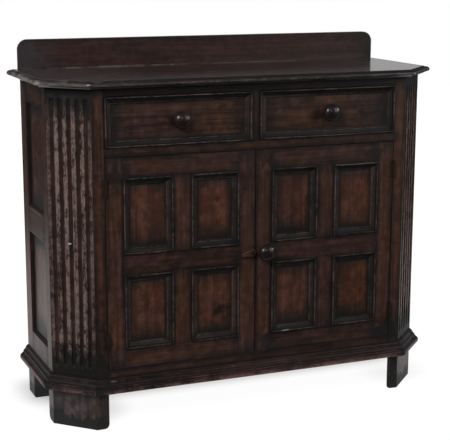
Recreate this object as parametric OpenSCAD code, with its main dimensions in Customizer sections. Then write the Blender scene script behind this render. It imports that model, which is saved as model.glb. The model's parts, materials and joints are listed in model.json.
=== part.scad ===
// Oak side cabinet: two drawers over a pair of panelled doors, fluted boards across the
// cut front corners, a moulded top with a low gallery board behind it, and block feet.
// X runs to the right, Z up, and the front faces -Y. The origin is on the floor under the
// middle of the whole cabinet. Inside the modules Y = 0 is the face of the front frame.

/* [Carcass] */
// Width over the two side faces
body_w = 1080; // [1000:10:1200]
// Depth from the front face to the back face
body_d = 363; // [345:1:420]
// Leg of the 45 degree cut at each front corner
corner_cut = 93; // [86:1:104]
// Thickness of the stiles, the rails and the fluted boards
frame_t = 22; // [20:0.5:25]

/* [Front frame] */
// Height of the rail under the doors
bottom_rail_h = 57; // [48:1:70]
// Height of the door opening
door_open_h = 559; // [500:1:620]
// Height of the rail between the doors and the drawers
middle_rail_h = 24; // [22:1:32]
// Height of the drawer openings
drawer_open_h = 131; // [115:1:160]
// Height of the rail over the drawers
top_rail_h = 21; // [18:1:30]
// Width of each front stile on its face
front_stile_w = 32; // [28:1:40]
// Width of the upright between the drawers
drawer_muntin_w = 20; // [16:1:30]
// Length of the tenons of the front rails
tenon_l = 12; // [8:1:14]
// Length of the tenons of the upright between the drawers
muntin_tenon_l = 8; // [5:1:9]
// Thickness of the tenons
tenon_t = 8; // [6:1:10]
// Shoulder left over and under each tenon
tenon_shoulder = 3; // [2:1:4]

/* [Side frames] */
// Width of the side stile next to the fluted board
side_front_stile_w = 44; // [34:1:60]
// Width of the side stile at the back
side_rear_stile_w = 57; // [50:1:70]
// Height of the bottom rail of the sides
side_bottom_rail_h = 102; // [90:1:120]
// Height of the middle rail of the sides
side_middle_rail_h = 75; // [60:1:90]
// Height of the top rail of the sides
side_top_rail_h = 60; // [50:1:80]
// Height of the sloped sill under each side panel
sill_h = 9; // [6:1:12]

/* [Panels and mouldings] */
// Thickness of the panels
panel_t = 8; // [6:0.5:9]
// Depth of the panel faces behind the frame faces
panel_recess = 9; // [7:0.5:10]
// Depth of the grooves that hold panels and tongues
groove_d = 8; // [6:0.5:10]
// Clearance of a panel or tongue to each cheek of its groove
groove_fit = 0.1; // [0.05:0.05:0.3]
// Space left for a panel to swell at the bottom of its groove
swell_gap = 1; // [0.5:0.5:2]
// Rise of the raised field of a door panel
field_rise = 1.5; // [1:0.5:2.5]
// Width of the slope round the raised field
field_slope = 10; // [6:1:14]
// Width of the mouldings round the door panels and the drawer fronts
mould_w = 20; // [16:1:24]
// Height of these mouldings over the frame face
mould_proud = 4; // [3:0.5:5]
// Gap left in a mitre between two lengths of moulding
mitre_gap = 0.1; // [0.05:0.05:0.2]

/* [Fluted corners] */
// Number of flutes in each corner board
flute_count = 5; // [3:1:5]
// Width of a flute
flute_w = 12.5; // [10:0.5:15]
// Depth of a flute
flute_depth = 4.5; // [3:0.5:5.5]
// Distance from one flute to the next
flute_pitch = 24.5; // [21:0.5:25]
// Plain length of the board over the flutes
flute_top_gap = 26; // [20:1:60]
// Plain length of the board under the flutes
flute_bottom_gap = 62; // [50:1:90]

/* [Top and gallery] */
// Thickness of the top board
top_t = 20; // [18:1:26]
// Reach of the moulded edge past the carcass
top_over = 30; // [24:1:38]
// Reach of the flat of the top past the carcass
top_flat = 14; // [8:1:18]
// Reach of the top past the back of the carcass
back_over = 27; // [24:1:40]
// Width of the gallery board
gallery_w = 1080; // [980:10:1080]
// Height of the gallery board over the top
gallery_h = 80; // [60:1:120]
// Thickness of the gallery board
gallery_t = 20; // [16:1:22]
// Radius of the upper corners of the gallery board
gallery_r = 28; // [20:1:45]
// Depth of the rebate that seats the gallery board
gallery_seat = 8; // [5:1:10]

/* [Plinth and feet] */
// Reach of the plinth moulding past the carcass
plinth_out = 24; // [18:1:30]
// Height of the plinth moulding
plinth_h = 39; // [30:1:46]
// Height of the feet
foot_h = 102; // [80:1:130]
// Length of a front foot along the side
foot_side = 44; // [36:1:60]
// Length of a front foot along the front
foot_front = 33; // [24:1:45]
// Radius of the lower ends of a front foot
foot_round = 14; // [6:1:18]
// Width of a rear foot
rear_foot_w = 60; // [50:1:80]
// Depth of a rear foot
rear_foot_d = 59; // [50:1:75]
// Radius of the lower outer edge of a rear foot
rear_foot_round = 6; // [3:1:10]

/* [Doors] */
// Gap over, under and at the meeting edge of a door
door_gap = 1; // [1:0.5:2]
// Gap at the hinged edge of a door
hinge_gap = 1.5; // [1.4:0.1:2]
// Gap between a closed door or drawer front and its stop
stop_gap = 0.5; // [0.3:0.1:1]
// Width of the door stiles
door_stile_w = 46.5; // [42:0.5:56]
// Width of the short uprights of a door
door_muntin_w = 50; // [40:1:60]
// Height of the top rail of a door
door_top_rail_h = 53; // [44:1:64]
// Height of the middle rail of a door
door_lock_rail_h = 55; // [52:1:66]
// Height of the bottom rail of a door
door_bottom_rail_h = 50.5; // [42:0.5:64]
// Width of the bead along the meeting edge of the right door
bead_w = 6; // [4:0.5:8]
// Width and depth of the groove beside the bead
bead_groove = 1.5; // [1:0.5:2]

/* [Drawers] */
// Gap round a drawer front
drawer_gap = 1; // [0.5:0.5:2]
// Depth of a drawer face behind the front frame
drawer_recess = 6; // [4:0.5:7]
// Thickness of the drawer sides and back
drawer_side_t = 10; // [8:1:12]
// Gap between the drawer sides and the kickers
kicker_gap = 4.5; // [2:0.5:10]
// Set-back of the drawer sides from the ends of the front
drawer_side_in = 1; // [0.5:0.5:3]
// Depth of the rebate in the drawer front that takes a side
drawer_lap = 8.5; // [6:0.5:9]
// Gap between a closed drawer and the back boards
drawer_back_gap = 18; // [6:1:50]
// Thickness of a drawer bottom
drawer_bottom_t = 5; // [4:0.5:8]
// Height of the drawer bottom over the edge of the sides
drawer_bottom_up = 8; // [6:1:14]
// Depth of the groove that holds a drawer bottom
drawer_groove_d = 4.5; // [3:0.5:5]
// Running clearance over the runners
runner_gap = 0.3; // [0.2:0.1:0.6]

/* [Drawer carriage] */
// Width of a runner and of the kicker over it
runner_w = 40; // [34:1:50]
// Height of a runner
runner_h = 20; // [16:1:21]
// Width of a side guide
guide_w = 20; // [14:1:22]
// Height of a guide over its runner
guide_h = 20; // [12:1:30]
// Clearance of a guide to the drawer side
guide_gap = 1; // [0.5:0.1:1.5]
// Height of a kicker
kicker_h = 28; // [22:1:28]

/* [Inside] */
// Thickness of the back boards
back_t = 8; // [6:1:12]
// Set-back of the back boards from the back face
back_in = 2; // [1:1:4]
// Number of back boards
back_count = 6; // [4:1:8]
// Hold of the back boards in the rear stiles
back_hold = 6; // [4:1:10]
// Chamfer where two back boards meet
back_chamfer = 1.5; // [0.5:0.5:3]
// Gap between two back boards
back_gap = 0.4; // [0.2:0.1:1]
// Thickness of the rails behind the back boards
rear_rail_t = 22; // [18:1:28]
// Thickness of the cupboard floor
floor_t = 12; // [10:1:18]
// Step from the bottom rail up to the cupboard floor, which stops the doors
floor_step = 6; // [4:1:10]
// Thickness of the shelf
shelf_t = 15; // [12:1:20]
// Height of the shelf over the cupboard floor
shelf_up = 260; // [200:5:320]
// Set-back of the front edge of the shelf
shelf_in = 60; // [45:1:110]
// Clearance round the floor and the shelf
board_fit = 0.2; // [0.1:0.1:1]
// Width of the battens that carry the floor and the shelf
batten_w = 18; // [14:1:24]
// Height of these battens
batten_h = 20; // [16:1:26]
// Thickness of the strip that stops the doors at the top
stop_t = 12; // [10:1:16]
// Drop of this strip under the middle rail
stop_drop = 18; // [12:1:24]

/* [Hinges] */
// Height of a butt hinge
hinge_h = 45; // [39:3:60]
// Distance of the hinges from the door ends
hinge_inset = 54; // [40:1:80]
// Radius of the hinge knuckle
knuckle_r = 4; // [3.5:0.1:5]
// Radius of the hinge pin
pin_r = 2; // [1.5:0.1:2.2]
// Running clearance round a pin
pin_fit = 0.05; // [0.03:0.01:0.08]
// Thickness of a hinge leaf
leaf_t = 1.6; // [1.4:0.1:2]
// Gap between the closed leaves
leaf_gap = 0.3; // [0.2:0.1:0.4]
// Width of a hinge leaf behind its knuckle
leaf_w = 15; // [12:0.5:15.5]
// Gap between the knuckles and the wood
knuckle_gap = 0.4; // [0.3:0.1:1]
// Radius of the hinge screws
screw_r = 1.5; // [1.2:0.1:1.8]
// Radius of the heads of the hinge screws
screw_head_r = 3; // [2.5:0.1:3.2]
// Length of the hinge screws in the wood
screw_l = 14; // [10:1:16]

/* [Knobs and turn button] */
// Largest radius of a knob
knob_r = 23; // [18:0.5:23.5]
// Length of a knob in front of the wood
knob_l = 38; // [34:1:48]
// Half height of the rounded head of a knob
knob_head = 16; // [13:0.5:18]
// Radius of the foot of a knob
knob_foot_r = 11; // [9:0.5:12]
// Radius of the neck of a knob
knob_neck_r = 8; // [7:0.5:8.5]
// Radius of the spigot of a knob
spigot_r = 6; // [4:0.5:6.5]
// Height of the door knob over the middle of the middle door rail
door_knob_up = 4; // [0:1:8]
// Distance of the turn button's pivot from the meeting edge
button_in = 10; // [10:0.5:14]
// Height of the pivot over the middle of the middle door rail
button_up = 3; // [0:1:8]
// Radius of the round end of the turn button
button_r = 10; // [8:0.5:10]
// Radius of the tip of the turn button
button_tip_r = 3.5; // [2:0.5:5]
// Distance from the pivot to the tip's centre
button_l = 30; // [26:1:34]
// Thickness of the turn button
button_t = 8; // [6:0.5:9]
// Downward tilt of the turn button at rest
button_tilt = 11; // [0:1:30]
// Radius of the turn button's screw
button_screw_r = 2; // [1.5:0.1:2.5]
// Radius of the head of this screw
button_head_r = 4.2; // [3.5:0.1:5]
// Thickness of the washer under the turn button
washer_t = 1; // [0.8:0.1:2]

/* [Hidden] */

$fn = 48;

// Finishes
oak = "#3b2419";
stained = "#241813";
panel_oak = "#5b3522";
black = "#191413";
inner_oak = "#7a5a3c";
knob_wood = "#2a1a14";
button_wood = "#6b3f28";
iron = "#3c3935";

// Heights, from the floor up
half_w = body_w / 2;
z_base = foot_h;
z_door = z_base + bottom_rail_h;
z_mid = z_door + door_open_h;
z_drawer = z_mid + middle_rail_h;
z_over = z_drawer + drawer_open_h;
z_body = z_over + top_rail_h;
z_top = z_body + top_t;
body_h = z_body - z_base;

// Places across and through the cabinet
open_x = half_w - corner_cut - front_stile_w;
top_back = body_d + back_over;
front_y = (max(knob_l, top_over) - top_back) / 2;
side_y1 = corner_cut + side_front_stile_w;
side_y2 = body_d - side_rear_stile_w;
back_y = body_d - back_t - back_in;
rear_rail_y = back_y - rear_rail_t;
cut = 1;
span = 2 * (body_w + body_d);

// Grooves for panels and tongues, measured behind the frame face
groove_y = panel_recess - groove_fit;
groove_w = panel_t + 2 * groove_fit;
tongue_l = groove_d - groove_fit;

// Side panels
side_panel_h = (body_h - side_bottom_rail_h - side_middle_rail_h - side_top_rail_h) / 2;
side_rail_zs = [
    z_base,
    z_base + side_bottom_rail_h + side_panel_h,
    z_body - side_top_rail_h
];
side_rail_hs = [side_bottom_rail_h, side_middle_rail_h, side_top_rail_h];

// Floor and shelf
z_floor = z_door + floor_step;
z_shelf = z_floor + shelf_up;
batten_y1 = side_y1 - 24;

// Doors, from the hinged edge to the meeting edge
door_w = open_x - hinge_gap - door_gap;
door_h = door_open_h - 2 * door_gap;
door_t = frame_t - stop_gap;
door_panel_w = (door_w - 2 * door_stile_w - door_muntin_w) / 2;
door_panel_h = (door_h - door_top_rail_h - door_lock_rail_h - door_bottom_rail_h) / 2;
door_rail_l = door_w - 2 * door_stile_w;
door_rail_zs = [
    0,
    door_bottom_rail_h + door_panel_h,
    door_h - door_top_rail_h
];
door_rail_hs = [door_bottom_rail_h, door_lock_rail_h, door_top_rail_h];
door_panel_xs = [door_stile_w, door_stile_w + door_panel_w + door_muntin_w];
door_panel_zs = [door_bottom_rail_h, door_rail_zs[1] + door_lock_rail_h];
lock_z = door_rail_zs[1] + door_lock_rail_h / 2;
bead_r = bead_w / 2;

// Hinges, from the pin outwards
hinge_out = knuckle_r + knuckle_gap;
leaf_y = knuckle_r + 1.2;
pocket_fit = 0.05;
hinge_zs = [
    z_door + door_gap + hinge_inset,
    z_mid - door_gap - hinge_inset - hinge_h
];
pin_over = 1.5;
knuckle_h = hinge_h / 3;
knuckle_play = 0.15;
screw_zs = [hinge_h / 6, hinge_h / 2, hinge_h * 5 / 6];
screw_y = leaf_y + leaf_w / 2;
screw_fit = 0.05;

// Drawers, from the left end of the left drawer front
drawer_w = open_x - drawer_muntin_w / 2 - 2 * drawer_gap;
drawer_h = drawer_open_h - 2 * drawer_gap;
drawer_x = drawer_gap - open_x;
drawer_front_t = frame_t - stop_gap - drawer_recess;
side_z = z_drawer + runner_gap;
bottom_z = side_z + drawer_bottom_up;
drawer_end = back_y - drawer_back_gap;
side_top = z_body - kicker_h - kicker_gap;
lap_y = frame_t - stop_gap - drawer_lap;
inner_w = drawer_w - 2 * drawer_side_in - 2 * drawer_side_t;
bottom_fit = 0.1;

// Drawer carriage
guide_x = drawer_x + drawer_side_in - guide_gap;
centre_guide = drawer_muntin_w / 2 + drawer_gap + drawer_side_in - guide_gap;
runner_y = frame_t;
runner_l = rear_rail_y - runner_y;

// Turn button
play = 0.1;
button_y = -washer_t - play;
spigot_fit = 0.05;

// Outline of the carcass in plan, grown by o: left back, round the front, right back
function leg(o) = corner_cut + o * (2 - sqrt(2));
function plan(o, back) = [
    [-half_w - o, back],
    [-half_w - o, leg(o) - o],
    [leg(o) - half_w - o, -o],
    [half_w + o - leg(o), -o],
    [half_w + o, leg(o) - o],
    [half_w + o, back]
];

// Section of the plinth moulding: out from the carcass, up from its lower edge
plinth_shape = [[0, 0], [0.94, 0], [1, 0.04], [1, 0.19], [0.97, 0.27], [0.89, 0.34],
    [0.78, 0.39], [0.73, 0.4], [0.73, 0.45], [0.64, 0.45], [0.61, 0.54], [0.54, 0.62],
    [0.44, 0.68], [0.4, 0.7], [0.4, 0.76], [0.32, 0.76], [0.3, 0.83], [0.24, 0.9],
    [0.14, 0.95], [0.1, 0.96], [0.1, 1], [0, 1]];
plinth_section = [for (p = plinth_shape) [p[0] * plinth_out, p[1] * plinth_h]];

// Section of the edge of the top: from its flat to its tip, up from its underside
edge_shape = [[0, 0], [0.06, 0.08], [0.2, 0.18], [0.4, 0.24], [0.62, 0.26], [0.86, 0.3],
    [0.96, 0.38], [1, 0.48], [0.98, 0.6], [0.91, 0.72], [0.78, 0.82], [0.58, 0.88],
    [0.32, 0.91], [0.05, 0.91], [0, 1]];
edge_section = concat(
    [[-span, 0]],
    [for (p = edge_shape) [top_flat + p[0] * (top_over - top_flat), p[1] * top_t]],
    [[-span, top_t]]
);

// Section of the applied moulding: in from its outer edge, out from the frame face
function moulding_section(recess) = concat(
    [[0, -recess]],
    [for (p = [[0, 0.5], [0.04, 0.85], [0.12, 1], [0.2, 0.95], [0.27, 0.65], [0.3, 0.3]])
        [p[0] * mould_w, p[1] * mould_proud]],
    [for (p = [[0.38, 0.02], [0.52, 0.2], [0.66, 0.45], [0.8, 0.62], [0.82, 0.74],
        [0.93, 0.74], [1, 0.84], [1, 1]])
        [p[0] * mould_w, -p[1] * recess]]
);

// A sub-part in its finish, at its place in the cabinet
module piece(finish) {
    color(finish)
        translate([0, front_y, 0])
            children();
}

module mirrored() {
    mirror([1, 0, 0])
        children();
}

module both_sides() {
    children();
    mirrored()
        children();
}

// Prism over a plan, from one height to another
module upright(points, z1, z2) {
    translate([0, 0, z1])
        linear_extrude(z2 - z1)
            polygon(points);
}

// Box from one corner to the other
module block(low, high) {
    translate(low)
        cube(high - low);
}

// Section drawn along edge i of the plan, and past both its ends by a reach
module along_edge(i, section, z, reach) {
    p = plan(0, body_d);
    translate([p[i + 1][0], p[i + 1][1], z])
        rotate([0, 0, 180 + 45 * i])
            translate([0, reach, 0])
                rotate([90, 0, 0])
                    linear_extrude(norm(p[i + 1] - p[i]) + 2 * reach)
                        polygon(section);
}

// Waste at a lower end edge: wood lies at -X and +Z, and the edge runs along +Y
module rounding(r, length) {
    difference() {
        block([-r, -cut, -cut], [cut, length + cut, r]);
        translate([-r, -2 * cut, r])
            rotate([-90, 0, 0])
                cylinder(r = r, h = length + 4 * cut);
    }
}

// Rail of a panelled frame, along +X, face at Y = 0, with tongues and panel grooves
module frame_rail(l, h, t, low_groove, high_groove, sill) {
    difference() {
        union() {
            block([0, 0, 0], [l, t, h]);
            block([-tongue_l, panel_recess, 0], [l + tongue_l, panel_recess + panel_t, h]);
        }
        if (low_groove)
            block([-groove_d - cut, groove_y, -cut],
                [l + groove_d + cut, groove_y + groove_w, groove_d]);
        if (high_groove)
            block([-groove_d - cut, groove_y, h - groove_d],
                [l + groove_d + cut, groove_y + groove_w, h + cut]);
        if (sill > 0)
            rotate([90, 0, 90])
                linear_extrude(l)
                    polygon([[-cut, h - sill * (1 + cut / panel_recess)], [panel_recess - groove_fit, h],
                        [panel_recess - groove_fit, h + cut], [-cut, h + cut]]);
    }
}

// Short upright of a panelled frame, grooved on both edges, with a tongue at each end
module frame_muntin(w, h, t) {
    difference() {
        union() {
            block([0, 0, 0], [w, t, h]);
            block([groove_d, panel_recess, -tongue_l],
                [w - groove_d, panel_recess + panel_t, h + tongue_l]);
        }
        block([-cut, groove_y, -cut], [groove_d, groove_y + groove_w, h + cut]);
        block([w - groove_d, groove_y, -cut], [w + cut, groove_y + groove_w, h + cut]);
    }
}

// Panel in an opening of w by h, held in the grooves, with a raised field or flat
module frame_panel(w, h, raised) {
    hold = groove_d - swell_gap;
    low = mould_w;
    high = mould_w + field_slope;
    y = panel_recess;
    union() {
        block([-hold, y, -hold], [w + hold, y + panel_t, h + hold]);
        if (raised)
            intersection() {
                linear_extrude(h)
                    polygon([[low, y + cut], [low, y], [high, y - field_rise],
                        [w - high, y - field_rise], [w - low, y], [w - low, y + cut]]);
                rotate([90, 0, 90])
                    linear_extrude(w)
                        polygon([[y + cut, low], [y, low], [y - field_rise, high],
                            [y - field_rise, h - high], [y, h - low], [y + cut, h - low]]);
            }
    }
}

// Mitred strip of applied moulding, along +X, in towards +Y, out towards +Z
module mould_strip(l, recess) {
    g = mitre_gap / sqrt(2);
    intersection() {
        rotate([90, 0, 90])
            linear_extrude(l)
                polygon(moulding_section(recess));
        upright([[g, 0], [l - g, 0], [l - g - mould_w - cut, mould_w + cut],
            [g + mould_w + cut, mould_w + cut]], -recess - cut, mould_proud + cut);
    }
}

// Four strips round an opening of w by h, on the frame face
module mould_frame(w, h, recess) {
    corners = [[0, 0], [w, 0], [w, h], [0, h]];
    for (i = [0:3])
        translate([corners[i][0], 0, corners[i][1]])
            rotate([90, 0, 0])
                rotate([0, 0, 90 * i])
                    mould_strip(i % 2 == 0 ? w : h, recess);
}

// Turned knob on a face at Y = 0, with its spigot in the wood behind
module knob(spigot_l) {
    low = asin((knob_neck_r + 1) / knob_r);
    rotate([90, 0, 0])
        rotate_extrude()
            polygon(concat(
                [[0, -spigot_l], [spigot_r, -spigot_l], [spigot_r, 0], [knob_foot_r, 0],
                    [knob_foot_r, 1.5], [knob_foot_r - 1.2, 3], [knob_neck_r, 5]],
                [for (i = [0:12]) let (a = low - 90 + (180 - low) * i / 12)
                    [knob_r * cos(a) * (i < 12 ? 1 : 0), knob_l - knob_head + knob_head * sin(a)]]
            ));
}

module spigot_hole(depth) {
    translate([0, -cut, 0])
        rotate([-90, 0, 0])
            cylinder(r = spigot_r + spigot_fit, h = depth + 2 * cut);
}

// Carcass

module top_board() {
    seat_x = gallery_w / 2 + groove_fit;
    piece(oak)
        difference() {
            intersection_for(i = [0:4])
                along_edge(i, edge_section, z_body, span);
            block([-span, top_back, z_body - cut], [span, 2 * span, z_top + cut]);
            block([-seat_x, top_back - gallery_t - groove_fit, z_top - gallery_seat],
                [seat_x, top_back + cut, z_top + cut]);
        }
}

module gallery_board() {
    x = gallery_w / 2;
    y = top_back - gallery_t;
    z = z_top + gallery_h;
    piece(oak)
        union() {
            block([-x, y, z_top - gallery_seat], [x, top_back, z - gallery_r]);
            block([gallery_r - x, y, z_top], [x - gallery_r, top_back, z]);
            for (side = [-1, 1])
                translate([side * (x - gallery_r), y, z - gallery_r])
                    rotate([-90, 0, 0])
                        cylinder(r = gallery_r, h = gallery_t);
        }
}

module fluted_board() {
    p = plan(0, body_d);
    q = plan(-frame_t, body_d);
    r = (flute_w * flute_w / 4 + flute_depth * flute_depth) / (2 * flute_depth);
    z1 = z_base + flute_bottom_gap + flute_w / 2;
    z2 = z_body - flute_top_gap - flute_w / 2;
    middle = (p[1] + p[2]) / 2;
    difference() {
        upright([p[1], p[2], q[2], q[1]], z_base, z_body);
        translate([middle[0], middle[1], 0])
            rotate([0, 0, -45])
                for (i = [0:flute_count - 1])
                    translate([(i - (flute_count - 1) / 2) * flute_pitch, flute_depth - r, z1]) {
                        sphere(r = r);
                        cylinder(r = r, h = z2 - z1);
                        translate([0, 0, z2 - z1])
                            sphere(r = r);
                    }
    }
}

module left_fluted_corner() {
    piece(oak)
        fluted_board();
}

module right_fluted_corner() {
    piece(oak)
        mirrored()
            fluted_board();
}

// Tenon of a front rail, at the left opening edge, between two heights
module rail_tenon(z1, z2, fit) {
    y = (frame_t - tenon_t) / 2;
    block([-open_x - tenon_l - fit, y - fit, z1 + tenon_shoulder - fit],
        [-open_x + cut, y + tenon_t + fit, z2 - tenon_shoulder + fit]);
}

module front_stile() {
    p = plan(0, body_d);
    q = plan(-frame_t, body_d);
    difference() {
        upright([p[2], [-open_x, 0], [-open_x, frame_t], q[2]], z_base, z_body);
        rail_tenon(z_base, z_door, groove_fit);
        rail_tenon(z_mid, z_drawer, groove_fit);
        rail_tenon(z_over, z_body, groove_fit);
        hinge_cuts(-1);
    }
}

module front_stiles() {
    piece(oak)
        both_sides()
            front_stile();
}

module front_rail(z1, z2) {
    block([-open_x, 0, z1], [open_x, frame_t, z2]);
    both_sides()
        rail_tenon(z1, z2, 0);
}

// Tenon of the drawer upright, from a height down or up by its length
module muntin_tenon(z1, z2, fit) {
    x = drawer_muntin_w / 2 - tenon_shoulder + fit;
    y = (frame_t - tenon_t) / 2 - fit;
    block([-x, y, z1], [x, frame_t - y, z2]);
}

module top_rail() {
    piece(stained)
        difference() {
            front_rail(z_over, z_body);
            muntin_tenon(z_over - cut, z_over + muntin_tenon_l + groove_fit, groove_fit);
        }
}

module middle_rail() {
    piece(oak)
        difference() {
            front_rail(z_mid, z_drawer);
            muntin_tenon(z_drawer - muntin_tenon_l - groove_fit, z_drawer + cut, groove_fit);
        }
}

module bottom_rail() {
    piece(oak)
        front_rail(z_base, z_door);
}

module drawer_muntin() {
    x = drawer_muntin_w / 2;
    piece(oak) {
        block([-x, 0, z_drawer], [x, frame_t, z_over]);
        muntin_tenon(z_drawer - muntin_tenon_l, z_over + muntin_tenon_l, 0);
    }
}

// Sides

module side_front_stile() {
    p = plan(0, body_d);
    q = plan(-frame_t, body_d);
    difference() {
        upright([p[1], q[1], [frame_t - half_w, side_y1], [-half_w, side_y1]], z_base, z_body);
        block([groove_y - half_w, side_y1 - groove_d, z_base - cut],
            [groove_y + groove_w - half_w, side_y1 + cut, z_body + cut]);
    }
}

module side_rear_stile() {
    difference() {
        block([-half_w, side_y2, z_base], [frame_t - half_w, body_d, z_body]);
        block([groove_y - half_w, side_y2 - cut, z_base - cut],
            [groove_y + groove_w - half_w, side_y2 + groove_d, z_body + cut]);
        block([frame_t - back_hold - half_w, back_y, z_base - cut],
            [frame_t + cut - half_w, body_d + cut, z_body + cut]);
    }
}

module side_stiles() {
    piece(oak)
        both_sides() {
            side_front_stile();
            side_rear_stile();
        }
}

module side_rails() {
    piece(oak)
        both_sides()
            for (i = [0:2])
                translate([-half_w, side_y2, side_rail_zs[i]])
                    rotate([0, 0, -90])
                        frame_rail(side_y2 - side_y1, side_rail_hs[i], frame_t, i > 0, i < 2,
                            i < 2 ? sill_h : 0);
}

module side_panels() {
    piece(panel_oak)
        both_sides()
            for (i = [0:1])
                translate([-half_w, side_y2, side_rail_zs[i] + side_rail_hs[i]])
                    rotate([0, 0, -90])
                        frame_panel(side_y2 - side_y1, side_panel_h, false);
}

// Back

back_half = half_w - frame_t + back_hold - groove_fit;
back_board_w = 2 * back_half / back_count;
rear_rail_zs = [
    [z_base, z_floor - floor_t],
    [z_drawer - runner_h, z_drawer],
    [z_body - kicker_h, z_body]
];
nail_r = 1.2;
nail_head_r = 2.6;
nail_head_t = 1;
nail_l = 20;
nail_fit = 0.05;

module at_nails() {
    for (i = [0:back_count - 1])
        for (side = [-1, 1])
            for (z = rear_rail_zs)
                translate([(i + 0.5) * back_board_w - back_half + side * back_board_w / 4,
                    back_y + back_t, (z[0] + z[1]) / 2])
                    rotate([90, 0, 0])
                        children();
}

module rear_rails() {
    x = half_w - frame_t;
    piece(inner_oak)
        difference() {
            for (z = rear_rail_zs)
                block([-x, rear_rail_y, z[0]], [x, back_y, z[1]]);
            at_nails()
                cylinder(r = nail_r + nail_fit, h = nail_l + nail_fit);
        }
}

module back_boards() {
    w = back_board_w - back_gap;
    piece(inner_oak)
        difference() {
            for (i = [0:back_count - 1])
                translate([i * back_board_w + back_gap / 2 - back_half, back_y, z_base])
                    linear_extrude(body_h)
                        polygon([[0, 0], [w, 0], [w, back_t - back_chamfer], [w - back_chamfer, back_t],
                            [back_chamfer, back_t], [0, back_t - back_chamfer]]);
            at_nails()
                translate([0, 0, -cut])
                    cylinder(r = nail_r + nail_fit, h = nail_l);
        }
}

module back_nails() {
    piece(iron)
        at_nails() {
            cylinder(r = nail_r, h = nail_l);
            translate([0, 0, -nail_head_t])
                cylinder(r = nail_head_r, h = nail_head_t);
        }
}

// Floor, shelf and their battens

module floor_board() {
    piece(inner_oak)
        upright(plan(-frame_t - board_fit, back_y - board_fit), z_floor - floor_t, z_floor);
}

module shelf() {
    piece(inner_oak)
        intersection() {
            upright(plan(-frame_t - board_fit, back_y - board_fit), z_shelf, z_shelf + shelf_t);
            block([-half_w, shelf_in, z_shelf - cut], [half_w, body_d, z_shelf + shelf_t + cut]);
        }
}

module board_battens() {
    x = half_w - frame_t;
    front_x = x - leg(-frame_t) - board_fit;
    piece(inner_oak) {
        block([-front_x, frame_t, z_floor - floor_t - batten_h],
            [front_x, frame_t + batten_w, z_floor - floor_t]);
        block([-x, back_y - batten_w, z_shelf - batten_h], [x, back_y, z_shelf]);
        both_sides()
            for (z = [z_floor - floor_t, z_shelf])
                block([-x, batten_y1, z - batten_h], [batten_w - x, rear_rail_y, z]);
    }
}

module door_stop_strip() {
    x = open_x - door_gap;
    piece(inner_oak)
        block([-x, frame_t, z_mid - stop_drop], [x, frame_t + stop_t, z_drawer - runner_h]);
}

// Drawer carriage: one length at each outer drawer side and one shared in the middle

module carriage(outer_w, centre_half, z1, z2) {
    both_sides()
        block([guide_x - guide_w, runner_y, z1], [guide_x - guide_w + outer_w, runner_y + runner_l, z2]);
    block([-centre_half, runner_y, z1], [centre_half, runner_y + runner_l, z2]);
}

module drawer_runners() {
    piece(inner_oak)
        carriage(runner_w, centre_guide + runner_w - guide_w, z_drawer - runner_h, z_drawer);
}

module drawer_guides() {
    piece(inner_oak)
        carriage(guide_w, centre_guide, z_drawer, z_drawer + guide_h);
}

module drawer_kickers() {
    piece(inner_oak)
        carriage(runner_w, centre_guide + runner_w - guide_w, z_body - kicker_h, z_body);
}

// Plinth and feet

module plinth_length(i) {
    p = plan(0, body_d);
    q = plan(plinth_out + cut, body_d);
    intersection() {
        along_edge(i, plinth_section, z_base, 2 * plinth_out);
        upright([p[i], p[i + 1], q[i + 1], q[i]], z_base - cut, z_base + plinth_h + cut);
    }
}

module plinth_front_moulding() {
    piece(oak)
        plinth_length(2);
}

module plinth_corner_mouldings() {
    piece(oak)
        both_sides()
            plinth_length(1);
}

module plinth_side_mouldings() {
    piece(oak)
        both_sides()
            plinth_length(0);
}

module front_foot() {
    p = plan(0, body_d);
    x = p[2][0] + foot_front;
    y = corner_cut + foot_side;
    difference() {
        upright([[-half_w, y], p[1], p[2], [x, 0]], 0, z_base);
        translate([x, 0, 0])
            rounding(foot_round, y);
        translate([x, y, 0])
            rotate([0, 0, 90])
                rounding(foot_round, x + half_w);
    }
}

module front_left_foot() {
    piece(oak)
        front_foot();
}

module front_right_foot() {
    piece(oak)
        mirrored()
            front_foot();
}

module rear_feet() {
    piece(oak)
        both_sides()
            difference() {
                block([-half_w, body_d - rear_foot_d, 0], [rear_foot_w - half_w, body_d, z_base]);
                translate([-half_w, body_d - rear_foot_d, 0])
                    mirrored()
                        rounding(rear_foot_round, rear_foot_d);
            }
}

// Hinges: the pin is on Z, the closed leaf lies behind it at +X

module at_hinges() {
    for (z = hinge_zs)
        translate([hinge_gap / 2 - open_x, -hinge_out, z])
            children();
}

module hinge_screw(fit) {
    for (z = screw_zs)
        translate([leaf_gap / 2, screw_y, z])
            rotate([0, 90, 0]) {
                translate([0, 0, -fit])
                    cylinder(r1 = screw_head_r + fit, r2 = screw_r + fit, h = leaf_t + fit);
                cylinder(r = screw_r + fit, h = leaf_t + screw_l + fit);
            }
}

// What the hinges take out of the wood: side is 1 for the door and -1 for the carcass
module hinge_cuts(side) {
    at_hinges()
        mirror([side < 0 ? 1 : 0, 0, 0]) {
            block([leaf_gap / 2, hinge_out - cut, -pocket_fit],
                [leaf_gap / 2 + leaf_t + pocket_fit, leaf_y + leaf_w + pocket_fit, hinge_h + pocket_fit]);
            hinge_screw(screw_fit);
        }
}

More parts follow.
